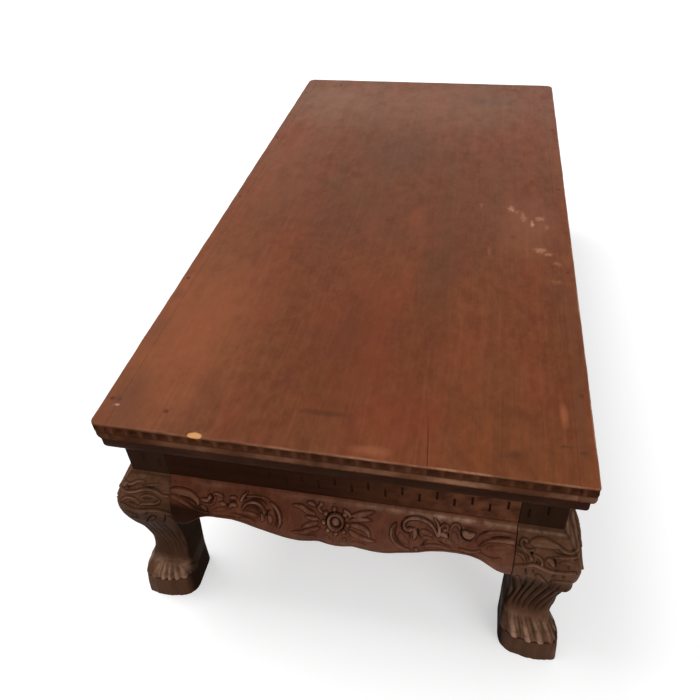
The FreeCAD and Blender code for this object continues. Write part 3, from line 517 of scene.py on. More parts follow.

# Marks on the top: centre, reach both ways, strength and colour. Most are stains and tone; the four
# pale and greyed patches at the left side and far end are painted sheen.
TOP_MARKS_AND_SHEEN = [
    # Painted sheen: the lighter left side of the top, this patch and the next
    ((-195, -300), (110, 200), 0.42, (152, 88, 54)),
    ((-205, 60), (80, 330), 0.2, (140, 84, 54)),
    # Painted sheen: the greyer far end of the top, this patch and the next
    ((10, 350), (280, 170), 0.32, (130, 94, 70)),
    ((-175, 360), (90, 150), 0.2, (146, 114, 90)),
    ((119, 366), (60, 26), 0.4, (84, 58, 42)),
    ((20, 40), (210, 270), 0.32, (84, 50, 28)),
    ((-20, 139), (66, 95), 0.36, (88, 56, 36)),
    ((-81, -67), (48, 66), 0.35, (92, 50, 32)),
    ((76, -160), (34, 140), 0.42, (86, 52, 28)),
    ((10, -310), (90, 150), 0.35, (98, 42, 24)),
    ((59, -402), (52, 40), 0.25, (124, 50, 28)),
    ((34, -43), (14, 40), 0.28, (140, 68, 42)),
    ((36, -207), (24, 76), 0.2, (134, 60, 34)),
    ((-17, -300), (50, 38), 0.25, (88, 44, 26)),
    ((-14, -405), (34, 4.5), 0.5, (70, 34, 20)),
    ((-209, -413), (19, 46), 0.42, (82, 50, 32)),
    ((-225, -313), (15, 40), 0.35, (86, 54, 36)),
    ((180, -50), (50, 96), 0.22, (140, 96, 70)),
    ((-226, -250), (9, 14), 0.4, (92, 54, 38)),
    ((223, -370), (9, 80), 0.35, (92, 60, 40)),
    ((226, -250), (6, 110), 0.35, (90, 56, 38)),
    ((209, -375), (5, 20), 0.4, (166, 98, 64)),
    ((38, -442), (24, 7), 0.28, (168, 102, 72)),
]
TOP_SPOTS = [
    ((160.5, -8.3), (6.0, 9.0), 0.5, (190, 138, 104)),
    ((168, -15), (9.0, 5.0), 0.35, (170, 118, 86)),
    ((176, -30), (5.0, 14.0), 0.35, (176, 126, 96)),
    ((187.2, -43.3), (3.6, 9.0), 0.55, (200, 152, 120)),
    ((198, -29.1), (7.0, 7.0), 0.42, (184, 134, 104)),
    ((206, -50), (4.0, 8.0), 0.3, (170, 120, 92)),
    ((196, -104), (9.0, 7.0), 0.42, (182, 130, 98)),
    ((206, -112), (7.0, 5.0), 0.4, (182, 130, 98)),
    ((214.9, -130.2), (6.0, 5.0), 0.35, (176, 122, 92)),
    ((213, -168), (8.0, 5.0), 0.25, (166, 112, 82)),
    ((120.0, -2.0), (2.4, 8.0), 0.35, (170, 116, 86)),
    ((133.8, -113.2), (3.0, 12.0), 0.3, (164, 98, 66)),
    ((-217.7, -425.2), (3.6, 2.2), 0.7, (190, 146, 130)),
    ((163.4, -78.0), (5.0, 7.0), 0.35, (72, 40, 26)),
    ((225.9, -104.2), (4.5, 12.0), 0.35, (80, 56, 40)),
    ((211.3, -149.5), (6.0, 6.0), 0.35, (76, 46, 32)),
    ((-220.6, -418.3), (6.5, 4.5), 0.5, (66, 36, 24)),
    ((160.5, -428.5), (9.0, 5.5), 0.4, (72, 40, 26)),
    ((223.1, -416.7), (8.0, 2.8), 0.5, (62, 40, 28)),
    ((209, -411), (8.0, 2.6), 0.5, (58, 36, 26)),
]
CHIP_CENTRE = (-127.3, -450.0)
CHIP_REACH = (8.2, 5.2)
CHIP_HEIGHT = 3.5
CHIP_TONE = (205, 146, 94)
CHIP_RIM = (0.82, 0.98)
TOP_GLOSS = 0.09

# Layers of the top's colour, one over another: noise (scale, stretch), its ramp
# and settings, then strength and colour
TOP_BASE = [(108, 50, 25), (99, 54, 24)]
TOP_LAYERS = {
    "streaks": ((60, ALONG_Y), (0.32, 0.68), (6, 0.62, 0.3), 0.35, (126, 67, 37)),
    "bands": ((20, (1, 0.13, 1)), (0.42, 0.6), (4, 0.6), 0.4, (88, 50, 25)),
    "reds": ((16, (1, 0.2, 1)), (0.5, 0.66), (4, 0.6), 0.3, (130, 58, 32)),
    "blotches": ((42, (1, 0.6, 1)), (0.4, 0.72), (5, 0.65), 0.5, (82, 40, 20)),
    "mottles": ((110, (1, 0.55, 1)), (0.38, 0.66), (5, 0.65), 0.3, (138, 80, 48)),
    "threads": ((150, (1, 0.035, 1)), (0.58, 0.75), (3,), 0.22, (150, 84, 60)),
    "lines": ((330, ALONG_Y), (0.4, 0.7), (4,), 0.18, (72, 34, 20)),
}
EDGE_TONES = [(64, 35, 22), (84, 50, 32)]
SPECK_TONE = (160, 108, 80)
WEAR_AND_HIGHLIGHT_TONE = (176, 126, 98)
SEAM_TONE = (36, 20, 14)


def top_wood(name):
    """Old lacquered boards: long streaks, rubbed patches, specks, and pale and greyed patches of
    painted sheen.

    The stain mark is where the moulded edge is darker than the top.
    """
    wood = Finish(name, 0.4, TOP_GLOSS)
    clouds = wood.layer(15, (1, 0.45, 1), (0.38, 0.62), detail=6, rough=0.62)
    colour = wood.mix(clouds, *(tone(*base) for base in TOP_BASE))
    made = {}
    for key, (noise, ramp, settings, strength, shade) in TOP_LAYERS.items():
        made[key] = wood.layer(*noise, ramp, *settings)
        colour = wood.veil(colour, made[key], strength, shade)
    broad = wood.grain(42, (1, 0.8, 1), 6, 0.7)
    fine = wood.layer(230, (1, 0.7, 1), (0.36, 0.64), detail=5, rough=0.7)
    for marks, rim, ragged in ((TOP_MARKS_AND_SHEEN, (0.3, 1.1), broad),
                               (TOP_SPOTS, (0.2, 1.0), fine)):
        for centre, radius, strength, shade in marks:
            spot = wood.patch(centre, radius, ragged, rim)
            colour = wood.veil(colour, spot, strength, shade)
    specks = wood.layer(330, (1, 0.7, 1), (0.71, 0.78), detail=3, rough=0.7)
    colour = wood.veil(colour, specks, 0.25, SPECK_TONE)
    edge = wood.mix(wood.steps(made["blotches"], (0, 0), (1, 1)),
                    *(tone(*shade) for shade in EDGE_TONES))
    stain = wood.mark("stain")
    colour = wood.mix(stain, colour, edge)
    gloss = wood.join("MULTIPLY", wood.join("SUBTRACT", 1, stain), TOP_GLOSS)
    wood.feed(wood.shader.inputs["Specular IOR Level"], gloss)
    # Wear, and a painted highlight along the moulded edge's nosing and roll that is stronger to the
    # right
    wear_and_highlight = wood.layer(70, ALL_WAYS, (0.32, 0.65), low=0.3)
    colour = wood.mix(wood.join("MULTIPLY", wood.mark("wear_and_highlight"), wear_and_highlight), colour,
                      tone(*WEAR_AND_HIGHLIGHT_TONE))
    # Dirt in the seams, the split and the notches, with painted shade in the notches that is
    # stronger to the left
    colour = wood.mix(wood.mark("dirt_and_shade"), colour, tone(*SEAM_TONE))
    chip = wood.patch(CHIP_CENTRE, CHIP_REACH, 0.5, CHIP_RIM, CHIP_HEIGHT)
    colour = wood.mix(chip, colour, tone(*CHIP_TONE))
    rough = wood.steps(made["blotches"], (0, 0.34), (1, 0.5))
    return wood.finish(colour, [(made["lines"], -0.05), (made["blotches"], 0.1)], rough)


plank_finish = top_wood("worn lacquered top")

moulding_finish = worn_wood("dark stained moulding", (40, 21, 12), (58, 33, 20),
                            (96, 64, 46), (24, 13, 8), (0.3, 0.3, 1), 0.01)
waist_finish = worn_wood("almost black waist", (48, 23, 11), (66, 34, 17),
                         (106, 64, 44), (20, 11, 7), (0.12, 0.12, 1), 0.02, 0.65)
hidden_finish = worn_wood("bare planed wood", (98, 68, 44), (128, 92, 62),
                          (150, 116, 82), (66, 44, 30), ALONG_X, 0.2, 0.65)


def rusted_iron():
    """Nail heads darkened with rust and old lacquer."""
    iron = Finish("rusted iron", 0.6, 0.1)
    rust = iron.layer(900, ALL_WAYS, (0.4, 0.6))
    colour = iron.mix(rust, tone(82, 42, 28), tone(100, 50, 32))
    return iron.finish(colour, [(rust, 0.1)])


iron_finish = rusted_iron()


# The moulded edge of the top

NOSING = 2.0
BAND_HEIGHT = 9.0
QUIRK_DEPTH = 1.2
QUIRK_HEIGHT = 1.0
ROLL_INSET = 3.5
ROLL_RADIUS = 12.0
NOTCH_PITCH = 15.0
NOTCH_DEPTH = 1.7
NOTCH_SHARE = 0.6
NOTCH_WALL = 0.6
NOTCH_STOP = 1.6
NOTCH_LOW_END = 0.25
NOTCH_MEAN = 0.7
TOOTH_MIDDLE = 0.86
TOOTH_SHARE = 0.1
TOOTH_WEAR_AND_HIGHLIGHT = 0.12
# How much of the edge's painted highlight is left at the table's left end
LEFT_HIGHLIGHT_SHARE = 0.2
NOSING_WEAR = 0.35
BAND_FOOT = NOSING + BAND_HEIGHT
ROLL_HEAD = BAND_FOOT + QUIRK_HEIGHT
# Shares of wear and painted highlight on the nosing and the roll
NOSING_WEAR_AND_HIGHLIGHT = 0.3
ROLL_WEAR_AND_HIGHLIGHT = (0.1, 0.65)
NOTCH_DIRT = 0.45
# Notch darkening at the left and at the right: dirt, with painted shade that is stronger on the left
NOTCH_DIRT_AND_SHADE_SIDES = (1.1, 0.6)
QUIRK_DIRT = 0.6
MOST_EDGE_DIRT = 0.9
STAIN_HEAD = (0.3, 0.6)
NOSING_STEPS = 6
BAND_STEPS = 11
ROLL_STEPS = 9


def edge_profile():
    """The moulded edge as (inset, depth) places, from the top down.

    A quarter round nosing, an upright band, a small step in, and a round roll
    that is an arc between the step and the foot.
    """
    turn = np.linspace(0, math.pi / 2, NOSING_STEPS)
    nosing = np.stack([NOSING * (1 - np.sin(turn)), NOSING * (1 - np.cos(turn))], 1)
    down = np.linspace(NOSING, BAND_FOOT, BAND_STEPS)[1:]
    band = np.stack([np.zeros_like(down), down], 1)
    start = np.array([QUIRK_DEPTH, ROLL_HEAD])
    end = np.array([ROLL_INSET, SLAB_HEIGHT])
    share = np.linspace(0, 1, ROLL_STEPS)
    chord = np.linalg.norm(end - start)
    swell = ROLL_RADIUS - math.sqrt(ROLL_RADIUS ** 2 - (chord / 2) ** 2)
    out = np.array([-(end - start)[1], (end - start)[0]]) / chord
    roll = (start + (end - start) * share[:, None]
            + out * (4 * share * (1 - share) * swell)[:, None])
    return np.concatenate([nosing, band, roll])


def edge_wear(along, depth, across, seed):
    """How the moulded edge departs from its profile at each place.

    Returns how far it goes in, its wear and painted highlight, its dirt and
    painted shade, and its stain. Wedges are cut in the band, one each pitch:
    full height at one end, nothing at the other. The nosing and the roll are
    rubbed unevenly and carry a painted highlight that is stronger towards the
    table's right, and the notches carry painted shade stronger towards the left.
    """
    phase = (along / NOTCH_PITCH + uneven("notch drift", along, seed)) % 1
    taper = 1 - np.clip(phase / NOTCH_SHARE, 0, 1)
    head = NOSING + NOTCH_WALL + uneven("notch head", along, seed)
    foot = head + (BAND_HEIGHT - NOTCH_STOP) * lerp(NOTCH_LOW_END, 1, taper)
    inside = (ease(depth, head - NOTCH_WALL, head + NOTCH_WALL)
              * ease(foot - depth, -NOTCH_WALL, NOTCH_WALL)
              * rise("notch start", phase) * rise("notch end", NOTCH_SHARE - phase))
    cut = NOTCH_DEPTH * inside * (NOTCH_MEAN + uneven("notch depth", along, seed))
    tooth = bell(phase - TOOTH_MIDDLE, TOOTH_SHARE) * ease(depth, NOSING, 2 * NOSING)
    worn = np.clip(0.5 + uneven("edge wear", along, seed), 0, 1)
    right = lerp(LEFT_HIGHLIGHT_SHARE, 1, rise("edge light across", across / HALF_WIDTH))
    on_nosing = (1 - ease(depth, 0.4 * NOSING, 1.2 * NOSING)) * rise("nosing start", depth)
    below_head = depth - ROLL_HEAD
    on_roll = rise("roll head", below_head) * fall("roll foot", below_head)
    quirk = bell(depth - BAND_FOOT - QUIRK_HEIGHT / 2, 0.8 * QUIRK_HEIGHT)
    inward = cut + (NOSING_WEAR * worn + uneven("nosing", along, seed)) * on_nosing
    # Wear and a painted highlight on the nosing, the roll and the teeth, stronger to the right
    wear_and_highlight = (on_nosing * ease(depth, 0, 0.15 * NOSING) * lerp(NOSING_WEAR_AND_HIGHLIGHT, 1, worn) * right
           + on_roll * lerp(*ROLL_WEAR_AND_HIGHLIGHT, worn) * right
           + TOOTH_WEAR_AND_HIGHLIGHT * tooth * (1 - on_roll) * (1 - on_nosing))
    # Dirt in the notches and the quirk, with painted shade in the notches towards the left
    dirt_and_shade = np.clip(NOTCH_DIRT * inside * lerp(*NOTCH_DIRT_AND_SHADE_SIDES, right)
                   + QUIRK_DIRT * quirk, 0, MOST_EDGE_DIRT)
    stain = ease(depth, 0, lerp(*STAIN_HEAD, right) * NOSING)
    return inward, np.clip(wear_and_highlight, 0, 1), dirt_and_shade, stain


# The split in the plank: (distance from the front end, place across)
SPLIT = [(0, 89.5), (34, 87), (110, 78), (160, 73), (230, 55), (360, 49)]
SPLIT_DEPTH = 0.6
SPLIT_HALF_WIDTH = 0.35
SPLIT_REACH = 90.0
SPLIT_STEPS = [0, 0.25, 0.5, 0.9, 1.6]
PLANK_PITCH = 1.9
FINE_PITCH = 0.9
FINE_REACH = 8.0
EASED_EDGE = 0.25
CHIP_DEPTH = 1.3
CHIP_BITE = 0.7
TOP_START = 0.2
OLD_SPLIT = 0.3
SECOND_SPLIT = {"place": 290, "reach": 45, "strength": 0.4}
BED_STEPS = 100
SAG_SHARE = 0.3
SEAM_DIRT = 0.12
PLANK_SEED = 1.3


def plank_columns():
    """Places across the plank, crowded together where the split runs."""
    middle = np.mean([spot for _, spot in SPLIT])
    edge = PLANK_HALF - EASED_EDGE
    even = np.arange(-edge, edge + PLANK_PITCH / 2, PLANK_PITCH)
    even = even[np.abs(even - middle) > SPLIT_STEPS[-1] + PLANK_PITCH / 2]
    crowd = [middle + sign * step for step in SPLIT_STEPS for sign in (-1, 1)]
    return np.unique(np.concatenate([[-PLANK_HALF, PLANK_HALF], even, crowd])), middle


def make_top_plank():
    """The plank: its moulded section carried across, with a split and a chip.

    A row is one section across the plank's width, and columns go round it:
    the front moulding, the top, the back moulding and the underside.
    """
    columns, middle = plank_columns()
    profile = edge_profile()
    inset, depth = profile[::-1].T
    start = HALF_LENGTH - NOSING
    fine = np.arange(start, start - FINE_REACH, -FINE_PITCH)
    bed = np.concatenate([-fine, np.linspace(FINE_REACH - start, start - FINE_REACH,
                                              BED_STEPS), fine[::-1]])[1:-1]
    y = np.concatenate([inset - HALF_LENGTH, bed, (HALF_LENGTH - inset)[::-1],
                        [HALF_LENGTH - APRON_BACK, APRON_BACK - HALF_LENGTH]])
    drop = np.concatenate([depth, np.zeros(len(bed)), depth[::-1],
                           [SLAB_HEIGHT, SLAB_HEIGHT]])
    x, y = np.meshgrid(columns, y, indexing="ij")
    drop = np.broadcast_to(drop, x.shape).copy()
    split = through(SPLIT, np.clip(y + HALF_LENGTH, 0, SPLIT[-1][0]))
    from_front = y + HALF_LENGTH
    fade = rise("split end", SPLIT[-1][0] - from_front)
    pull = np.clip(1 - (np.abs(x - middle) / SPLIT_REACH) ** 2, 0, 1) ** 2
    x = x + (split - middle) * pull
    on_top = 1 - ease(drop, TOP_START, NOSING)
    second = SECOND_SPLIT["strength"] * bell(from_front - SECOND_SPLIT["place"],
                                             SECOND_SPLIT["reach"])
    fresh = (lerp(OLD_SPLIT, 1, fall("fresh split", from_front)) + second
             + uneven("split", from_front))
    crack = bell(x - split, SPLIT_HALF_WIDTH) * fade * fresh
    end = np.sign(y)
    near_end = rise("plank end", np.abs(y) - HALF_LENGTH)
    wear = edge_wear(x * -end, drop, x, PLANK_SEED)
    inward, wear_and_highlight, dirt_and_shade, stain = (share * near_end for share in wear)
    chip_gap = np.hypot((x - CHIP_CENTRE[0]) / CHIP_REACH[0],
                        (y - CHIP_CENTRE[1]) / CHIP_REACH[1]) + uneven("chip rim", x)
    chip = fall("chip rim", chip_gap) * fall("chip foot", drop)
    y = y - end * (inward + CHIP_BITE * chip * rise("chip face", drop))
    sag = uneven("plank across", x) + uneven("plank along", y)
    sink = (on_top * (sag * rise("sag", PLANK_HALF - np.abs(x))
                      * rise("sag", HALF_LENGTH - np.abs(y)) + SPLIT_DEPTH * crack)
            + CHIP_DEPTH * chip * fall("chip top", drop))
    side = ease(np.abs(x), PLANK_HALF - EASED_EDGE, PLANK_HALF)
    sink = sink + (EASED_EDGE * side + SAG_SHARE * np.clip(sag, -1, 0)) * on_top
    z = TOP - drop - np.clip(sink, 0, None) - NAIL_PROUD * on_top
    gaps = on_top * np.maximum(0.5 * crack, SEAM_DIRT * side)
    marks = {"wear_and_highlight": wear_and_highlight * (1 - chip), "dirt_and_shade": np.maximum(dirt_and_shade, gaps) * (1 - chip),
             "stain": stain * (1 - chip)}
    grid_piece("worn_plank", np.stack([x, y, z], -1), marks, plank_finish,
               ["top_plank"])


CORNER_ROUNDS = {"left": (8.5, 12.0), "right": (3.5, 11.0)}
STRIP_SEEDS = {"left": 4.2, "right": 2.6}
STRIP_RINGS = 8
STRIP_END_STEPS = 14
STRIP_PITCH = 1.3


def make_top_strip(side):
    """A strip: its moulding turns both corners, and rings close over its top.

    Each ring lies at one inset from the edge, from the seam at one end, round
    the long side, to the seam at the other end. The corners are rounded by
    drawing the square's corner in to a circle.
    """
    profile = edge_profile()
    inner = np.linspace(NOSING, STRIP_WIDTH, STRIP_RINGS)[1:]
    inset = np.concatenate([profile[::-1, 0], inner[:-1],
                            [STRIP_WIDTH - EASED_EDGE, STRIP_WIDTH, STRIP_WIDTH]])
    drop = np.concatenate([profile[::-1, 1], np.zeros(len(inner) - 1),
                           [0, EASED_EDGE, SLAB_HEIGHT]])
    end = np.linspace(0, 1, STRIP_END_STEPS)
    run = np.linspace(0, 1, int(2 * HALF_LENGTH / STRIP_PITCH))[1:-1]
    ring_end, inset_grid = np.meshgrid(end, inset, indexing="ij")
    ring_run, inset_run = np.meshgrid(run, inset, indexing="ij")
    ends = np.stack([lerp(STRIP_WIDTH, inset_grid, ring_end), inset_grid], -1)
    long_way = lerp(inset_run, 2 * HALF_LENGTH - inset_run, ring_run)
    sides = np.stack([inset_run, long_way], -1)
    back = ends[::-1].copy()
    back[..., 1] = 2 * HALF_LENGTH - back[..., 1]
    plan = np.concatenate([ends, sides, back])
    drop = np.broadcast_to(drop, plan.shape[:2])
    out_x, along = plan[..., 0], plan[..., 1]
    from_end = np.minimum(along, 2 * HALF_LENGTH - along)
    on_end = from_end < out_x
    walk = np.where(on_end, out_x, along)
    outward = {"left": -1, "right": 1}[side]
    across = outward * (HALF_WIDTH - out_x)
    ring = np.broadcast_to(inset, plan.shape[:2])
    on_edge = fall("strip edge", ring)
    wear = edge_wear(walk, drop, across, STRIP_SEEDS[side])
    inward, wear_and_highlight, dirt_and_shade, stain = (share * on_edge for share in wear)
    out_x = out_x + inward * np.where(on_end, 0, 1)
    from_end = from_end + inward * np.where(on_end, 1, 0)
    near, far = CORNER_ROUNDS[side]
    bend = np.where(along < HALF_LENGTH, near, far)
    lack_x = np.clip(bend - out_x, 0, None)
    lack_y = np.clip(bend - from_end, 0, None)
    longest = np.maximum(lack_x, lack_y)
    shrink = longest / np.maximum(np.hypot(lack_x, lack_y), 1e-9)
    both = (lack_x > 0) & (lack_y > 0)
    out_x = np.where(both, bend - lack_x * shrink, out_x)
    from_end = np.where(both, bend - lack_y * shrink, from_end)
    along = np.where(along < HALF_LENGTH, from_end, 2 * HALF_LENGTH - from_end)
    seam = ease(ring, STRIP_WIDTH - EASED_EDGE, STRIP_WIDTH) * (drop < NOSING)
    x = along - HALF_LENGTH
    if side == "left":
        x = -x
    z = TOP - drop - NAIL_PROUD * (1 - ease(drop, TOP_START, NOSING))
    points = turn_side(np.stack([x, out_x, z], -1), side)
    marks = {"wear_and_highlight": wear_and_highlight, "dirt_and_shade": np.maximum(dirt_and_shade, SEAM_DIRT * seam), "stain": stain}
    grid_piece(f"worn_strip_{side}", points, marks, plank_finish,
               [f"top_strip_{side}"])


# The bulge that aprons and knees share: (depth below the top, inset)
BULGE = [(91, 12.5), (99.9, 7.7), (109.9, 2.6), (120.5, -1.6), (131.1, -3.5),
         (140.6, -3.0), (150, -1.3)]
LEDGE_DEPTH = BULGE[0][0]
FOOT_DEPTH = TOP - APRON_FOOT
WAIST_DEPTH = TOP - WAIST_FOOT

# The apron's lower edge: from a joint, (distance, rise), and about the middle
JOINT_DROP = 7.0
BROW = [(0, 0), (6.1, 3.9), (14.1, 11.5), (22.1, 19.1), (31, 23), (47, 24.5)]
LOBE_REACH = 110.0
LOBE = [(0, 4.9), (7.7, 6.1), (17, 9.1), (28.6, 6.9), (39.6, 4.7), (51.7, 6.1),
        (64.9, 10.5), (79.2, 15.7), (94.6, 21.6), (110, 24.5)]

# The scrolls right of the flower: (kind, half width, height, places), where a
# place is (distance from the table's middle, depth below the top)
RIGHT_SCROLL = [
    ("rim", 1.3, 1.5,
     [(61, 101.5), (57.8, 106.5), (56.8, 112), (58.5, 118), (63, 123.5), (69, 126.8), (76, 128)]),
    ("cut", 1.0, 1.3, [(62.5, 103), (60.5, 109), (61.5, 115), (65, 121), (70, 124)]),
    ("curl", 1.8, 2.0,
     [(102, 108), (99, 102.5), (95, 98), (89, 95.2), (82, 94.2), (74.5, 95.3), (69.8, 99),
      (69, 103.5), (72, 106.5), (76, 105.5)]),
    ("cut", 1.0, 1.4, [(67, 99), (66.7, 104), (69.7, 108.8), (74.5, 110.2), (75.7, 116)]),
    ("leaf", 3.4, 0.9, [(65.5, 111), (69, 117), (75, 120)]),
    ("leaf", 2.4, 1.5, [(79, 103.5), (80.3, 109), (79.5, 115)]),
    ("cut", 0.9, 1.5, [(82.8, 103.5), (83.6, 108.5), (86, 113)]),
    ("leaf", 2.6, 1.1, [(85.5, 105), (91.5, 106.5), (98, 108.5)]),
    ("leaf", 1.8, 0.9, [(87.5, 111.5), (92, 111.2), (98, 112)]),
    ("cut", 0.9, 1.0, [(92, 114), (89.5, 117), (88, 121)]),
    ("rim", 2.2, 1.6, [(81.2, 125.5), (83.5, 126.3)]),
    ("rim", 1.4, 1.1, [(87, 121.5), (96, 118.6), (106, 118.3), (115, 120.3)]),
    ("cut", 0.9, 1.2, [(102.5, 112.5), (108, 115.3), (115, 117.6)]),
    ("tip", 2.0, 2.0, [(103, 107.5), (103.3, 101.5), (101.3, 96), (98, 91.8)]),
    ("leaf", 2.4, 1.7, [(103, 106.3), (108, 105.8), (112, 108)]),
    ("cut", 0.8, 1.2, [(112.3, 103), (112.8, 109)]),
    ("curl", 1.3, 1.5, [(104.5, 99.5), (107.5, 96.5), (111, 97.6), (111, 100.6), (108.3, 101.6)]),
    ("rim", 1.4, 1.3, [(114, 100), (116.8, 95.3), (121.3, 95.6), (123.2, 100)]),
    ("leaf", 3.2, 1.0, [(117, 102.5), (118.5, 108), (121.5, 113)]),
    ("leaf", 2.4, 0.8, [(111, 111), (116, 114), (123, 115.5)]),
    ("leaf", 4.2, 1.8, [(125.2, 100.5), (131, 103.6), (137.6, 101)]),
    ("cut", 1.0, 1.7, [(124, 98), (124.8, 104), (128, 107.7), (134.5, 108.6)]),
    ("cut", 2.2, 0.9, [(127, 96.6), (137, 96.8)]),
    ("cut", 0.9, 1.1, [(138.4, 109), (139.8, 104), (143.8, 99.6), (150, 96.6)]),
    ("tip", 2.8, 1.3, [(176, 103.6), (166, 103.6), (156, 104.6), (148, 107.2), (142.5, 112)]),
    ("cut", 0.9, 1.3, [(153, 102.3), (162, 100.6), (171, 100.4)]),
    ("rim", 1.6, 0.9, [(146.5, 99.5), (154, 97.3), (164, 96.6), (175, 96.8)]),
    ("leaf", 2.6, 0.7, [(150, 113.5), (158, 111), (168, 110)]),
    ("rim", 1.2, 1.2, [(124, 117.8), (131, 119.4), (138, 118.8), (143.4, 116.4)]),
    ("rim", 1.3, 1.3, [(144.5, 119.5), (149, 122.7), (156, 124.2), (163.5, 122.5)]),
]

# The scrolls left of the flower, the same way, but distances run to the left
LEFT_SCROLL = [
    ("rim", 1.6, 1.8,
     [(66.5, 99.3), (62, 102.5), (58.6, 107), (56.6, 113), (56.6, 119), (59, 125)]),
    ("cut", 1.0, 1.4, [(64, 104.5), (61.3, 111), (60, 118), (62.5, 123.5)]),
    ("curl", 1.8, 2.0,
     [(96, 108.5), (93, 104.5), (88, 102), (82, 101.5), (77, 103.7), (74, 107.3), (72.6, 110.5)]),
    ("cut", 2.6, 1.1, [(92, 107.5), (84.5, 106), (79, 109.5), (79.5, 114)]),
    ("rim", 1.2, 1.1, [(93, 97), (84, 95.6), (74, 95.9), (67.5, 97.6)]),
    ("cut", 1.2, 1.3, [(89, 98.8), (82, 98), (75, 99.3), (70.3, 103)]),
    ("leaf", 2.6, 1.5, [(68.5, 112), (66.8, 116.5), (67.3, 121.5)]),
    ("cut", 1.0, 1.4, [(72.3, 113), (70, 109), (67, 106.5)]),
    ("leaf", 1.9, 1.3, [(76.6, 112), (75.2, 117), (77, 121)]),
    ("rim", 1.8, 1.1, [(96, 112.3), (88, 113), (80.5, 115)]),
    ("cut", 0.9, 1.2, [(108, 115.8), (97, 117), (88, 118.4), (83, 120.6)]),
    ("rim", 1.3, 1.0, [(101, 121), (92, 120.2), (84.5, 123)]),
    ("tip", 1.8, 1.9, [(97.5, 101), (95.8, 97.5), (93.6, 94.8), (91, 91.6)]),
    ("cut", 1.6, 1.4, [(92.3, 98.2), (95, 98.8)]),
    ("leaf", 2.2, 1.8, [(102.5, 107.3), (107.5, 106.8), (111.5, 110.5)]),
    ("cut", 0.9, 1.2, [(112.5, 105.5), (113, 110.5)]),
    ("rim", 1.5, 1.4, [(103, 99.2), (109.5, 99.6)]),
    ("cut", 1.1, 1.2, [(103, 103.2), (112, 103.6)]),
    ("rim", 1.5, 1.3, [(117, 100.4), (122, 98.4), (126.5, 98)]),
    ("leaf", 2.2, 1.6, [(114.5, 107.8), (121.5, 106.8)]),
    ("cut", 0.6, 0.9, [(117.4, 96), (117.4, 104.5)]),
    ("leaf", 2.0, 0.9, [(114, 112.5), (121, 113.5), (128, 115.5)]),
    ("curl", 2.2, 1.8, [(140, 105.8), (134.5, 106), (131.6, 102.8)]),
    ("cut", 0.9, 1.5, [(131, 98.8), (129, 102.8), (131.5, 107.4)]),
    ("rim", 1.2, 1.2, [(125.8, 101), (127, 106.6), (131.6, 110.3), (139.5, 110)]),
    ("leaf", 2.3, 1.5, [(141, 111.8), (135, 117)]),
    ("leaf", 4.0, 1.9, [(176, 101), (163, 101.2), (152, 102.8), (145.8, 107.5), (144.6, 112.5)]),
    ("cut", 0.9, 1.5, [(164, 106), (155.5, 108), (149.5, 110.4), (145, 114)]),
    ("rim", 2.0, 2.0, [(155.2, 112.7), (157, 113.4)]),
    ("tip", 2.6, 1.5, [(165, 110), (157, 113.6), (149, 117.4), (140, 119), (134, 119.3)]),
    ("leaf", 2.6, 1.3, [(176, 107), (168, 109.3), (162.5, 113)]),
    ("rim", 1.0, 0.9, [(126, 123), (115, 121.8), (105, 120.9)]),
]

# The flower at the middle and its leaves
FLOWER_CENTRE = (1.0, 109.0)
BOSS_RADIUS = 8.8
PETAL_RING = 12.3
PETAL_RADIUS = 4.6
PETAL_HEIGHT = 1.9
BOSS_HEIGHT = 2.2
BOSS_TURNS = list(range(0, 361, 30))
PETAL_TURNS = [8, 48, 88, 128, 170, 214, 262, 318]
FLOWER_LEAVES = [
    ("leaf", 2.8, 1.5, [(17, 101), (26, 98.3), (38.5, 94)]),
    ("leaf", 2.5, 1.6, [(16, 105), (25, 103), (36.5, 102.3)]),
    ("leaf", 2.8, 1.7, [(16.5, 109.5), (26, 110.5), (33, 114), (35.7, 120)]),
    ("leaf", 3.0, 1.6, [(15, 116), (23, 121), (32, 123.6), (41, 124)]),
    ("leaf", 2.0, 1.0, [(19, 129.5), (25, 131.3), (31, 131.3)]),
    ("rim", 1.7, 1.6, [(9, 96.5), (13, 98.4), (16.5, 102)]),
    ("curl", 1.8, 1.5, [(-13, 101.5), (-17, 98), (-14.5, 94)]),
    ("leaf", 2.0, 1.9, [(-20, 96), (-24.5, 94.4), (-28.5, 94)]),
    ("leaf", 2.6, 1.6, [(-20, 104.6), (-28, 102.5), (-34, 99.2), (-43, 98)]),
    ("leaf", 2.1, 1.6, [(-16.5, 108.6), (-23, 109), (-30, 108)]),
    ("leaf", 2.6, 1.4, [(-17, 112.5), (-25, 115.6), (-33.5, 119.6)]),
    ("leaf", 2.8, 1.5, [(-15.5, 117.5), (-24, 121.8), (-33, 126.2), (-44, 127.6)]),
    ("leaf", 2.1, 1.1, [(-20, 129.5), (-28, 132), (-35, 130.2)]),
    ("leaf", 2.0, 1.0, [(-9.5, 125.7), (-6, 131)]),
    ("leaf", 2.0, 1.0, [(11, 125.7), (8, 131)]),
    ("cut", 0.7, 0.6, [(-2, 127.5), (-2, 137)]),
    ("cut", 0.7, 0.6, [(4.5, 127.5), (4.5, 137)]),
]


def round_dot(place, reach):
    """Two places so near each other that a stroke between them is a round dot."""
    x, y = place
    return [(x - reach, y), (x + reach, y)]


def about_boss(radius, turns):
    """Places on a circle about the flower's middle."""
    x, y = FLOWER_CENTRE
    return [(x + radius * math.cos(turn), y + radius * math.sin(turn))
            for turn in np.radians(turns)]


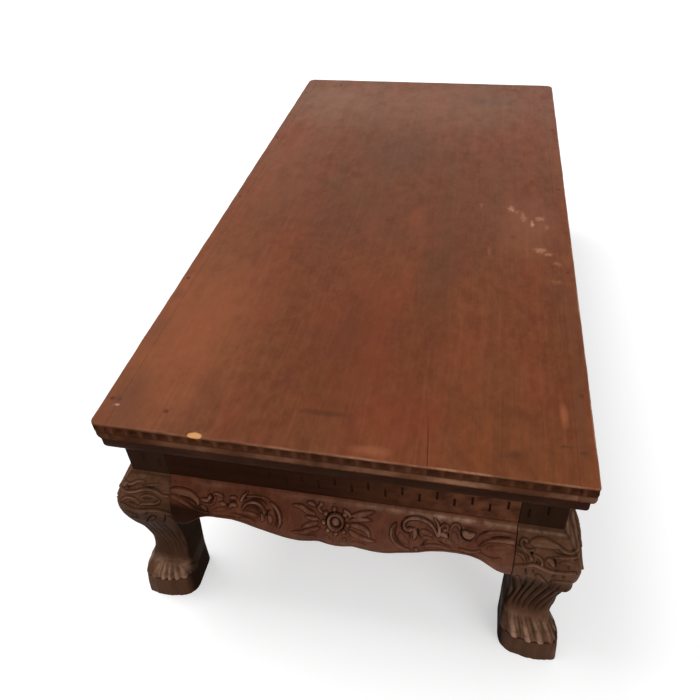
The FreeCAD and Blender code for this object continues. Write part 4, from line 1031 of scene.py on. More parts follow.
def flower_strokes():
    """The flower's strokes: a dished boss, a ring of petals, and leaves."""
    x, y = FLOWER_CENTRE
    petals = [("rim", PETAL_RADIUS, PETAL_HEIGHT, round_dot(place, 0.2))
              for place in about_boss(PETAL_RING, PETAL_TURNS)]
    boss = [("rim", BOSS_RADIUS, BOSS_HEIGHT, round_dot(FLOWER_CENTRE, 0.1)),
            ("cut", 0.8, 1.3, about_boss(BOSS_RADIUS + 0.6, BOSS_TURNS)),
            ("cut", 0.6, 0.5, [(x - 3, y - 1), (x - 1, y - 3), (x + 1.5, y - 2)]),
            ("rim", 1.7, 2.9, about_boss(BOSS_RADIUS - 1.4, BOSS_TURNS))]
    return petals + boss + FLOWER_LEAVES


def lower_edge(along, half):
    """How far an apron's foot rises at each place along it.

    Near a joint it is flat and then a brow, and about the middle a lobe, with
    a level run between the two.
    """
    from_joint = half - np.abs(along) - JOINT_DROP
    brow = through(BROW, np.clip(from_joint, 0, BROW[-1][0]))
    lobe = through(LOBE, np.clip(np.abs(along), 0, LOBE_REACH))
    return np.where(np.abs(along) < LOBE_REACH, lobe,
                    np.where(from_joint < BROW[-1][0], brow, BROW[-1][1]))


def bulge_face(depth):
    """How far in the face lies at each depth: the ledge's slope, then the bulge."""
    slope = lerp(WAIST_INSET, BULGE[0][1], np.clip(
        (depth - WAIST_DEPTH) / (LEDGE_DEPTH - WAIST_DEPTH), 0, 1))
    return np.where(depth < LEDGE_DEPTH, slope, through(BULGE, np.clip(
        depth, LEDGE_DEPTH, FOOT_DEPTH)))


RELIEF = 1.25
BEAD_DISTANCE = 3.6
BEAD_DEPTH = 0.8
BEAD_WIDTH = 0.7
FRONT_STEPS = 86
LEDGE_STEPS = 4
FOOT_STEPS = 4
LEDGE_WIDTH = 1.2
# Painted highlight along the apron's ledge: its width, and its strength towards the table's right
LEDGE_SHINE = 2.0
RIGHT_SHINE = 0.65
LEDGE_WEAR = 0.8
SOFT_JOINT = 0.25
JOINT_CUT = 0.7
FOOT_ROUND = 1.6
BACK_ROUND = 1.5
BACK_RISE = 45
APRON_PITCH = {"front": 0.75, "back": 0.75, "right": 0.95, "left": 0.95}
RELIEF_RUB = 0.36
# How far the painted shade at an apron's left end dulls the rubbed relief
DULLED = 0.6
# Painted light over the apron, growing towards the right
APRON_RIGHT_LIGHT = 0.1
FOOT_RUB = {"up": 1.8, "width": 1.3, "strength": 0.25}
END_SHADE = 0.92
DIRT_DEPTH = 1.9
MOST_APRON_DIRT = 0.8


def apron_carving(along, depth, half):
    """The strokes of one apron: the flower, and scrolls that end at the joints.

    A long apron has the scrolls twice each way: by the joints, as on a short
    one, and again beside the flower.
    """
    front_half = HALF_WIDTH - LEG_WIDTH
    raised, sunk = carve(along, depth, flower_strokes())
    shifts = [0] if half < 2 * front_half else [0, half - front_half]
    for shift in shifts:
        for sign, scroll in ((1, RIGHT_SCROLL), (-1, LEFT_SCROLL)):
            more, less = carve(sign * along - shift, depth, scroll)
            raised = np.maximum(raised, more)
            sunk = np.maximum(sunk, less)
    return raised, sunk


def make_apron(side):
    """A bulging apron: its face, round foot, flat back and carving.

    A row is one section from the waist down the face, round the foot and up
    the back, and rows follow each other along the side.
    """
    half = HALF_RUNS[side] - LEG_WIDTH
    along = np.linspace(-half, half, int(2 * half / APRON_PITCH[side]))
    foot = FOOT_DEPTH - lower_edge(along, half)
    ledge = np.linspace(WAIST_DEPTH, LEDGE_DEPTH, LEDGE_STEPS + 1)[:-1]
    share = np.linspace(0, 1, FRONT_STEPS)
    face = lerp(LEDGE_DEPTH, foot[:, None] - FOOT_ROUND, share)
    ledge = np.broadcast_to(ledge, (len(along), LEDGE_STEPS))
    depth = np.concatenate([ledge, face], axis=1)
    x = np.broadcast_to(along[:, None], depth.shape)
    y = bulge_face(depth)
    raised, sunk = apron_carving(x, depth, half)
    from_foot = foot[:, None] - depth
    to_joint = half - np.abs(x)
    below_ledge = depth - LEDGE_DEPTH
    bead = BEAD_DEPTH * bell(from_foot - BEAD_DISTANCE, BEAD_WIDTH)
    sunk = np.maximum(sunk, bead * rise("bead end", to_joint))
    fade = rise("apron carving", to_joint) * rise("apron carving", below_ledge)
    raised = RELIEF * raised * fade
    sunk = RELIEF * sunk * fade * rise("apron foot", from_foot)
    joint = JOINT_CUT * fall("joint", to_joint)
    sunk = sunk + joint * np.where(x < 0, SOFT_JOINT, 1)
    ripple = uneven("apron along", x) + uneven("apron down", depth)
    height = raised - sunk + ripple * fade
    lean = np.gradient(y, axis=1) / np.maximum(np.gradient(depth, axis=1), 1e-6)
    lean = np.clip(lean, -1, 1)
    square = 1 / np.sqrt(1 + lean ** 2)
    y = y - height * square + LEDGE_WEAR * bell(below_ledge, LEDGE_WIDTH)
    z = TOP - depth - height * lean * square
    # Painted light: a highlight on the ledge and a lighter tone over the apron, both stronger to the
    # right, join the wear on the relief and at the foot
    right = rise("apron light across", x / half)
    dulled = 1 - DULLED * rise("dull end", -x - half)
    wear_and_highlight = np.clip(RELIEF_RUB * dulled * rise("apron relief", raised)
                  + bell(below_ledge, LEDGE_SHINE) * (RIGHT_SHINE * right + uneven("apron ledge", x))
                  + APRON_RIGHT_LIGHT * right + FOOT_RUB["strength"]
                  * bell(from_foot - FOOT_RUB["up"], FOOT_RUB["width"]), 0, 1)
    # Painted shade over each apron's left end, added to the dirt in the carving
    in_shade = END_SHADE * rise("shade along", -x - half) * rise("shade down", depth)
    most = np.maximum(MOST_APRON_DIRT, in_shade)
    dirt_and_shade = np.clip(sunk / DIRT_DEPTH + in_shade, 0, most)
    turn = np.linspace(0, math.pi / 2, FOOT_STEPS + 1)[1:]
    edge_y = y[:, -1:] + FOOT_ROUND * (1 - np.cos(turn))
    edge_z = z[:, -1:] - FOOT_ROUND * np.sin(turn)
    back_y = np.array([APRON_BACK - BACK_ROUND, APRON_BACK, APRON_BACK, APRON_BACK])
    back_z = np.stack([edge_z[:, -1], edge_z[:, -1] + BACK_ROUND,
                       np.full(len(along), APRON_FOOT + BACK_RISE),
                       np.full(len(along), WAIST_FOOT)], axis=1)
    y = np.concatenate([y, edge_y, np.broadcast_to(back_y, back_z.shape)], axis=1)
    z = np.concatenate([z, edge_z, back_z], axis=1)
    extra = ((0, 0), (0, y.shape[1] - wear_and_highlight.shape[1]))
    marks = {"wear_and_highlight": np.pad(wear_and_highlight, extra), "dirt_and_shade": np.pad(dirt_and_shade, extra)}
    x = np.broadcast_to(along[:, None], y.shape)
    points = turn_side(np.stack([x, y, z], -1), side)
    grid_piece(f"carved_apron_{side}", points, marks, carved_finish,
               [f"apron_{side}"])


SLOT = {"width": 2.0, "height": 12.0, "depth": 1.2, "pitch": 16.5,
        "foot": 12.0, "stagger": 7.0, "wall": 0.35, "filled": 0.2}
WAIST_BACK = box_mm("waist_board_front")[1][1] + HALF_LENGTH
TONGUE_REACH = box_mm("waist_board_front")[1][0] - (HALF_WIDTH - LEG_WIDTH)
TONGUE_HALF = 2.5
WAIST_PITCH = 8.0
WAIST_LEVELS = 16
WAIST_GLOOM = 0.55
WAIST_DIRT_AND_SHADE = 0.5


def slot_share(gap_across, height, lift):
    """How far into a slot each place is: one inside and zero outside."""
    foot = WAIST_FOOT + SLOT["foot"] + lift
    wall = SLOT["wall"]
    across = ease(SLOT["width"] / 2 - np.abs(gap_across), -wall, wall)
    return (across * ease(height - foot, -wall, wall)
            * ease(foot + SLOT["height"] - height, -wall, wall))


def make_waist(side):
    """A sunk waist board with two staggered rows of slots and a tongue each end.

    A row is one section, up the face and down the back. Rows crowd together
    at the walls of the slots, and the end rows narrow to the tongues.
    """
    half = HALF_RUNS[side] - LEG_WIDTH
    pitch, wall, width = SLOT["pitch"], SLOT["wall"], SLOT["width"]
    steps = int((half - pitch / 2) // pitch)
    middles = np.arange(-steps, steps + 1) * pitch
    lifts = ((np.arange(2 * steps + 1) + 1) % 2) * SLOT["stagger"]
    walls = [middles + sign * (width / 2 + step)
             for sign in (-1, 1) for step in (-wall, wall)]
    between = np.linspace(-half, half, int(2 * half / WAIST_PITCH))
    along = np.unique(np.concatenate([*walls, middles, between]))
    feet = WAIST_FOOT + SLOT["foot"]
    levels = [feet + lift + step for lift in (0, SLOT["stagger"])
              for step in (-wall, wall, SLOT["height"] - wall, SLOT["height"] + wall)]
    levels = np.unique([*levels, *np.linspace(WAIST_FOOT, RAIL_FOOT, WAIST_LEVELS)])
    x, z = np.meshgrid(along, levels, indexing="ij")
    inside = np.zeros(x.shape)
    for middle, lift in zip(middles, lifts):
        inside = np.maximum(inside, slot_share(x - middle, z, lift))
    inside = inside * lerp(SLOT["filled"], 1, rise("open slots", x / half))
    y = (WAIST_INSET + SLOT["depth"] * inside + uneven("waist along", x)
         + uneven("waist up", z))
    ends = np.minimum(z - WAIST_FOOT, RAIL_FOOT - z)
    middle = (WAIST_INSET + WAIST_BACK) / 2
    back = np.full((len(along), 2), WAIST_BACK)
    y = np.concatenate([y, back], axis=1)
    z = np.concatenate([z, np.broadcast_to([RAIL_FOOT, WAIST_FOOT], back.shape)], axis=1)
    thin = np.where(y[:1] < middle, middle - TONGUE_HALF, middle + TONGUE_HALF)
    y = np.concatenate([thin, thin, y, thin, thin])
    z = np.concatenate([z[:1], z[:1], z, z[:1], z[:1]])
    reach = half + TONGUE_REACH
    along = np.concatenate([[-reach, -half], along, [half, reach]])
    x = np.broadcast_to(along[:, None], y.shape)
    dirt_and_shade, wear_and_highlight = np.zeros(y.shape), np.zeros(y.shape)
    # Painted shade over the left half and along the top and bottom edges, dirt in the slots, and
    # painted light over the right half
    spot = x[2:-2, :-2] / half
    shaded = np.maximum(WAIST_DIRT_AND_SHADE * inside, WAIST_GLOOM * fall("waist gloom", spot))
    dirt_and_shade[2:-2, :-2] = np.maximum(shaded, WAIST_DIRT_AND_SHADE * fall("waist edge", ends))
    wear_and_highlight[2:-2, :-2] = (1 - inside) * rise("waist light across", spot)
    points = turn_side(np.stack([x, y, z], -1), side)
    grid_piece(f"slotted_waist_{side}", points, {"wear_and_highlight": wear_and_highlight, "dirt_and_shade": dirt_and_shade},
               waist_finish, [f"waist_board_{side}"])


# The leg's sections up from the floor: height, inset of the outer faces and of
# the inner faces, rounding of the outer arris, of the joint corners and of the
# back corner, and how far the outer faces swell
LEG_SECTIONS = [
    (0, -5.0, 55.0, 5.0, 20.0, 12.0, 2.5),
    (26, -3.2, 55.0, 5.0, 20.0, 12.0, 2.5),
    (33, -2.5, 55.0, 5.0, 20.0, 12.0, 2.5),
    (39, -1.0, 55.1, 5.3, 18.6, 12.0, 2.3),
    (48, 2.4, 55.4, 6.1, 15.0, 12.0, 1.8),
    (59, 6.2, 55.6, 7.0, 11.0, 12.0, 1.4),
    (71, 9.2, 55.9, 7.7, 7.7, 12.0, 1.0),
    (79, 10.4, 56.0, 8.0, 6.0, 12.0, 0.8),
    (100, 10.4, 56.0, 8.0, 6.0, 12.0, 0.8),
    (112, 8.7, 56.5, 7.4, 5.2, 10.3, 0.8),
    (127, 5.7, 57.2, 6.4, 4.0, 7.5, 0.8),
    (140, 1.8, 58.2, 5.2, 2.2, 4.0, 0.6),
    (155, -1.3, 59.0, 4.0, 0.8, 1.5, 0.4),
    (164.4, -3.0, 59.0, 4.0, 0.8, 0.8, 0.0),
    (173.9, -3.5, 59.0, 4.0, 0.8, 0.8, 0.0),
    (184.5, -1.6, 59.0, 4.0, 0.8, 0.8, 0.0),
    (195.1, 2.6, 59.0, 4.0, 0.8, 0.8, 0.0),
    (205.1, 7.7, 59.0, 4.0, 0.8, 0.8, 0.0),
    (214, 12.5, 59.0, 3.0, 0.8, 0.8, 0.0),
    (217.5, 16.0, 59.0, 1.2, 0.8, 0.8, 0.0),
    (218.5, 16.0, 59.0, 1.2, 0.8, 0.8, 0.0),
    (222, 16.0, 59.0, 1.2, 0.8, 0.8, 0.0),
    (260, 16.0, 59.0, 1.2, 0.8, 0.8, 0.0),
]
LEG_ROWS = [(0, 1.0, 3), (1.0, 22, 10), (22, 214, 282), (214, 218, 5),
            (218, 260, 58)]
FACE_STEPS = 80
ROUND_STEPS = 26
HIDDEN_STEPS = 12
ARRIS_STEPS = 11
BACK_STEPS = 7

# Carving on the knees, shins and feet: a place is (distance inward from the
# outer edge of the top, depth below the top), the same on both outer faces
COLLAR_RIGHT = [
    ("rim", 2.1, 1.9,
     [(58, 128.5), (49, 126.7), (43, 124.2), (38.5, 123.8), (33, 126), (25, 128.7), (16, 129),
      (9, 128), (2, 126)]),
    ("curl", 1.4, 1.6,
     [(42, 107.3), (46.5, 108.8), (51.5, 107.3), (54.5, 103), (52.5, 98.8), (49.5, 100.5)]),
    ("cut", 1.1, 1.4, [(52.3, 102.5), (49.8, 104)]),
    ("leaf", 5.5, 1.4, [(46, 101.5), (34, 100), (21, 102.5)]),
    ("rim", 1.6, 1.7, [(31, 97.5), (22.5, 100.3), (15.5, 104.8), (9, 106), (2, 103)]),
    ("cut", 0.9, 1.4, [(25, 105.5), (19.5, 108.2), (12, 108.6), (6, 107)]),
    ("rim", 1.5, 1.1, [(23, 112.5), (12, 111.2), (1, 109.5)]),
    ("curl", 1.6, 1.8, [(58, 106.5), (51, 109), (46, 112), (43.3, 117.3)]),
    ("rim", 1.4, 1.4, [(58, 112.3), (52, 114.8), (48.6, 120)]),
    ("cut", 1.5, 1.5, [(44.5, 111), (43, 112.8)]),
    ("curl", 1.5, 1.6, [(42, 112.6), (37, 114.3), (33.5, 117.5), (33, 122)]),
    ("cut", 1.0, 1.1, [(38.5, 118), (37, 122)]),
    ("leaf", 2.6, 2.1, [(30, 115), (25.5, 116.3), (22, 122)]),
    ("cut", 1.0, 1.4, [(22.5, 113.8), (20.3, 119.5)]),
    ("rim", 1.5, 1.0, [(17, 117.5), (11, 116), (4, 117.5)]),
    ("cut", 1.0, 1.2, [(9.5, 119.5), (7.8, 124)]),
    ("cut", 1.0, 1.0, [(5, 110.8), (3.5, 114.5)]),
    ("rim", 1.8, 1.1, [(20, 145.8), (12, 145), (3, 143.5)]),
    ("cut", 1.2, 1.2, [(21, 147.5), (21.5, 151.5)]),
    ("cut", 1.6, 1.1, [(12, 132.5), (10.8, 138.5)]),
    ("cut", 1.2, 0.9, [(20, 133), (21.5, 139)]),
    ("tip", 2.4, 1.7, [(34.5, 139.5), (29, 147), (23.5, 155)]),
    ("cut", 0.9, 1.4, [(47, 130.5), (46.6, 136), (45, 142)]),
    ("cut", 0.9, 1.0, [(40, 130), (39.5, 137)]),
]
COLLAR_LEFT = [
    ("rim", 2.1, 1.9,
     [(58, 129), (50, 127.7), (45, 127), (38, 127.6), (30, 129.5), (21, 131.7), (15, 131),
      (10, 128), (3, 124)]),
    ("rim", 1.4, 1.4, [(4, 97), (8.5, 99.5), (13.5, 101.3), (18, 100), (23, 97.2), (31, 96.3)]),
    ("curl", 1.5, 1.8,
     [(58, 107.7), (51, 108), (44, 105.2), (36, 103.9), (28, 105.2), (20, 108), (12, 109.5),
      (6.5, 108), (5.5, 104.5), (9, 102)]),
    ("cut", 1.6, 1.5, [(11.5, 104), (13, 106.2)]),
    ("rim", 1.3, 1.3, [(26, 112.5), (33, 110), (40, 110.6), (47, 113.8)]),
    ("cut", 1.4, 1.2, [(27, 114.7), (38, 114.3)]),
    ("cut", 0.9, 1.0, [(24, 100), (33, 101.2), (42, 101.8), (50, 104)]),
    ("rim", 1.3, 0.9, [(29, 100.8), (39, 99), (49, 97)]),
    ("curl", 1.4, 1.5, [(4, 119.5), (8, 116.3), (13, 115.3), (18.5, 116.6), (23, 120)]),
    ("cut", 1.6, 1.2, [(10, 121.5), (19, 122.8)]),
    ("rim", 1.4, 1.4, [(21.5, 125), (26, 121.2), (34, 119.6), (42, 118), (48, 114)]),
    ("cut", 1.1, 1.1, [(28, 123.3), (38, 122.2), (47, 119)]),
    ("tip", 2.4, 1.7, [(36, 140), (30, 147), (24, 155)]),
    ("leaf", 3.0, 0.8, [(5, 136), (10, 141), (16, 144)]),
    ("cut", 1.1, 1.0, [(7, 149), (16, 149.5)]),
    ("cut", 1.0, 1.1, [(50.5, 132), (48.5, 141), (45, 150)]),
    ("leaf", 2.2, 1.1, [(54, 134), (57, 141)]),
    ("cut", 1.2, 1.0, [(31, 133), (26, 138)]),
]
SHIN = [
    ("cut", 1.4, 1.3,
     [(57, 150), (54.5, 168), (52, 184), (50, 196), (51, 208), (53.5, 220), (53, 232), (49, 241)]),
    ("rim", 2.4, 1.1, [(53, 148), (50, 166), (47, 182), (46.5, 195), (48, 208), (50, 220)]),
    ("cut", 1.1, 1.3, [(44, 146), (43.5, 162), (43.5, 180), (45, 198), (47, 214), (47.5, 228)]),
    ("cut", 1.1, 1.3, [(36, 148), (36.5, 164), (37.5, 182), (39.5, 200), (41.5, 216), (42, 229)]),
    ("cut", 1.1, 1.2, [(28, 150), (29, 166), (31, 184), (33.5, 202), (36, 217), (36.5, 229)]),
    ("cut", 1.1, 1.2, [(20, 152), (21.5, 168), (24, 186), (27.5, 204), (30.5, 218), (31, 229)]),
    ("cut", 1.1, 1.1, [(12, 155), (14.5, 171), (17.5, 188), (21.5, 206), (25, 219), (26, 229)]),
    ("cut", 1.0, 1.0, [(5, 158), (9, 174), (13, 192), (17, 208), (20, 220), (21, 230)]),
    ("rim", 1.7, 0.7, [(40, 150), (40, 168), (41, 188), (43, 206), (44.5, 222)]),
    ("rim", 1.7, 0.7, [(24, 152), (25.5, 170), (28, 190), (31, 208), (33.5, 222)]),
    ("rim", 1.7, 0.7, [(16, 154), (18.5, 172), (21, 190), (25, 208), (28, 222)]),
]
TOES = [
    ("cut", 1.4, 1.3, [(56, 236), (57, 248), (56, 262), (55, 272)]),
    ("cut", 1.4, 1.3, [(52, 234), (50.5, 246), (47.5, 262), (46, 272)]),
    ("cut", 1.4, 1.4, [(40, 238), (37.5, 250), (34, 262), (32.5, 272)]),
    ("cut", 1.4, 1.4, [(29.5, 238), (24.5, 250), (20, 262), (18.5, 272)]),
    ("cut", 1.3, 1.3, [(19.5, 240), (13, 252), (9, 263), (8, 272)]),
    ("toe", 4.0, 1.3, [(46, 238), (44, 252), (41, 263), (39.5, 270)]),
    ("toe", 3.8, 1.4, [(35, 240), (31, 252), (27, 263), (25.5, 270)]),
    ("toe", 3.6, 1.3, [(24.5, 242), (19, 253), (14.5, 263), (13, 270)]),
    ("toe", 2.8, 1.0, [(13, 246), (7.5, 255), (4, 264), (2.5, 270)]),
    ("toe", 3.2, 1.0, [(54, 246), (53, 258), (51.5, 269)]),
]
NARROW_TOES = [
    ("cut", 1.0, 1.3, [(45, 249), (49, 260), (51, 272)]),
    ("cut", 1.0, 1.3, [(39, 248), (41, 260), (42, 272)]),
    ("cut", 1.0, 1.4, [(33.5, 247), (33.5, 260), (33.5, 272)]),
    ("cut", 1.0, 1.4, [(28, 248), (26.5, 260), (25.5, 272)]),
    ("cut", 1.0, 1.3, [(22.5, 249), (19.5, 260), (17, 272)]),
    ("cut", 2.4, 1.1, [(16, 250), (23, 246.5), (32, 245), (41, 246.5), (47, 250)]),
    ("toe", 4.0, 1.1, [(51, 253), (55, 262), (57, 270)]),
    ("toe", 2.8, 1.3, [(42, 249), (45, 260), (46.5, 270)]),
    ("toe", 2.6, 1.5, [(36.3, 248), (37.3, 260), (37.8, 270)]),
    ("toe", 2.6, 1.5, [(30.8, 248), (30, 260), (29.5, 270)]),
    ("toe", 2.6, 1.4, [(25.3, 249), (23, 260), (21.3, 270)]),
    ("toe", 4.2, 1.2, [(17, 252), (12.5, 262), (10, 270)]),
]
TOE_FOOT_DEPTH = 270.0
TOE_SCALLOP = 2.2
TOE_HEIGHT = 1.4
TOE_SWELL = 1.3
KNEE_RELIEF = 1.25
SIDE_KNEE = 1.8
SIDE_TOES = 0.6
UNDERCUT = {"down": 2.4, "width": 1.4, "depth": 0.8}
LEG_LEDGE_WEAR = 0.7
POST_INSET = 20
LEG_MIDDLE = 30
ARRIS_WIDTH = 7.0
# Wear on the relief and the arris, painted highlights on the toe tips and the ledge, and wear with
# painted light on the toes
LEG_WEAR_AND_HIGHLIGHT = {"relief": 0.28, "arris": 0.15, "tip_highlights": 0.8, "toes": 0.35,
           "inner toes": 0.7, "ledge": (0.1, 0.9)}
# Dirt on the plinth and at the joint, painted shade on unlit faces, down the shins and under the
# toes, and the most of all
LEG_DIRT_AND_SHADE = {"plinth": 0.25, "undercut": 0.6, "joint": 0.7, "unlit": 0.85,
            "shin": 0.3, "most": 0.95}
LEG_DIRT_DEPTH = 2.4
SLOT_DIRT_DEPTH = 3
FOOT_TURN = -7.5
ANKLE_TURN = 5.0
LEG_SEED = 1.7

# What is usual for a leg, and what sets the two front ones apart. The gloom settings are painted
# shade, the ledge setting is a painted highlight, and the toe setting is wear with painted light on
# the foot's top.
USUAL_LEG = {"lean": 0, "low knee": 0, "shin relief": 1, "toe relief": 1, "toe rub": 0.4,
             "ledge rub": 0.5, "gloom": 0.7, "gloom head": (140, 165),
             "gloom foot": (222, 240), "inner gloom": 0}
OWN_LEGS = {
    "front_left": {"lean": -4.0, "shin relief": 0.35, "toe relief": 0.8, "toe rub": 0.55,
                   "ledge rub": 0.05, "gloom": 0.54, "gloom head": (112, 152),
                   "gloom foot": (236, 250), "inner gloom": 0.55},
    "front_right": {"lean": -3.6, "low knee": 3.6, "ledge rub": 0.85, "gloom": 0.45},
}


def leg_plan(heights):
    """The plan of a leg at each height, as points round a rounded square.

    They start at the joint on the front face, go along it to the outer arris,
    back along the side face, and close behind. Both outer faces swell by a
    parabola. Returns the points and which of them are on the outer faces.
    """
    table = np.array(LEG_SECTIONS)
    outer, inner, arris, joint, back, swell = (
        through(list(zip(table[:, 0], table[:, k])), heights)[:, None]
        for k in range(1, 7))
    corners = [(inner, outer, joint), (outer, outer, arris),
               (outer, inner, joint), (inner, inner, back)]
    ways = [(-1, 0), (0, 1), (1, 0), (0, -1)]
    steps = [FACE_STEPS, FACE_STEPS, HIDDEN_STEPS, HIDDEN_STEPS]
    arcs = [ARRIS_STEPS, ROUND_STEPS, BACK_STEPS, ROUND_STEPS]
    xs, ys, on_face = [], [], []
    for k in range(4):
        (x0, y0, r0), (x1, y1, r1) = corners[k], corners[(k + 1) % 4]
        way, turned = ways[k], ways[(k + 1) % 4]
        share = np.linspace(0, 1, steps[k])[None, :]
        start = (x0 + way[0] * r0, y0 + way[1] * r0)
        end = (x1 - way[0] * r1, y1 - way[1] * r1)
        x, y = lerp(start[0], end[0], share), lerp(start[1], end[1], share)
        if k < 2:
            puff = swell * 4 * share * (1 - share)
            x, y = x - puff * turned[0], y - puff * turned[1]
        xs.append(x)
        ys.append(y)
        on_face.append(np.full(steps[k], k < 2))
        turn = np.linspace(0, math.pi / 2, arcs[k] + 2)[None, 1:-1]
        centre = (end[0] + turned[0] * r1, end[1] + turned[1] * r1)
        xs.append(centre[0] + r1 * (way[0] * np.sin(turn) - turned[0] * np.cos(turn)))
        ys.append(centre[1] + r1 * (way[1] * np.sin(turn) - turned[1] * np.cos(turn)))
        on_face.append(np.full(arcs[k], k != 2))
    return (np.concatenate(xs, axis=1), np.concatenate(ys, axis=1),
            np.concatenate(on_face))


def slot_cuts(inward, height):
    """The waist's slots carried on over a post's face."""
    cut = np.zeros(inward.shape)
    for k in range(int((LEG_WIDTH - WAIST_INSET) // SLOT["pitch"])):
        middle = LEG_WIDTH - (k + 0.5) * SLOT["pitch"]
        lift = (k % 2) * SLOT["stagger"]
        cut = np.maximum(cut, slot_share(inward - middle, height, lift))
    return cut * SLOT["depth"]


def hand_made_lean(x, y, z, corner, lean):
    """How far each place of a leg stands off its regular place, towards the right.

    A front leg leans towards its foot. The right one's foot is turned in at
    its outer side, and its ankle stands out above it.
    """
    shift = lean * fall("lean", z)
    if corner != "front_right":
        return shift
    outer = rise("outer lean foot", z) * fall("outer lean head", z)
    foot_turn = rise("turn back", x) * fall("turn head", z) * fall("turn side", y)
    ankle_turn = fall("ankle side", y) * rise("ankle foot", z) * fall("ankle head", z)
    return (shift * lerp(outer, 1, rise("outer side", y))
            + FOOT_TURN * foot_turn + ANKLE_TURN * ankle_turn)


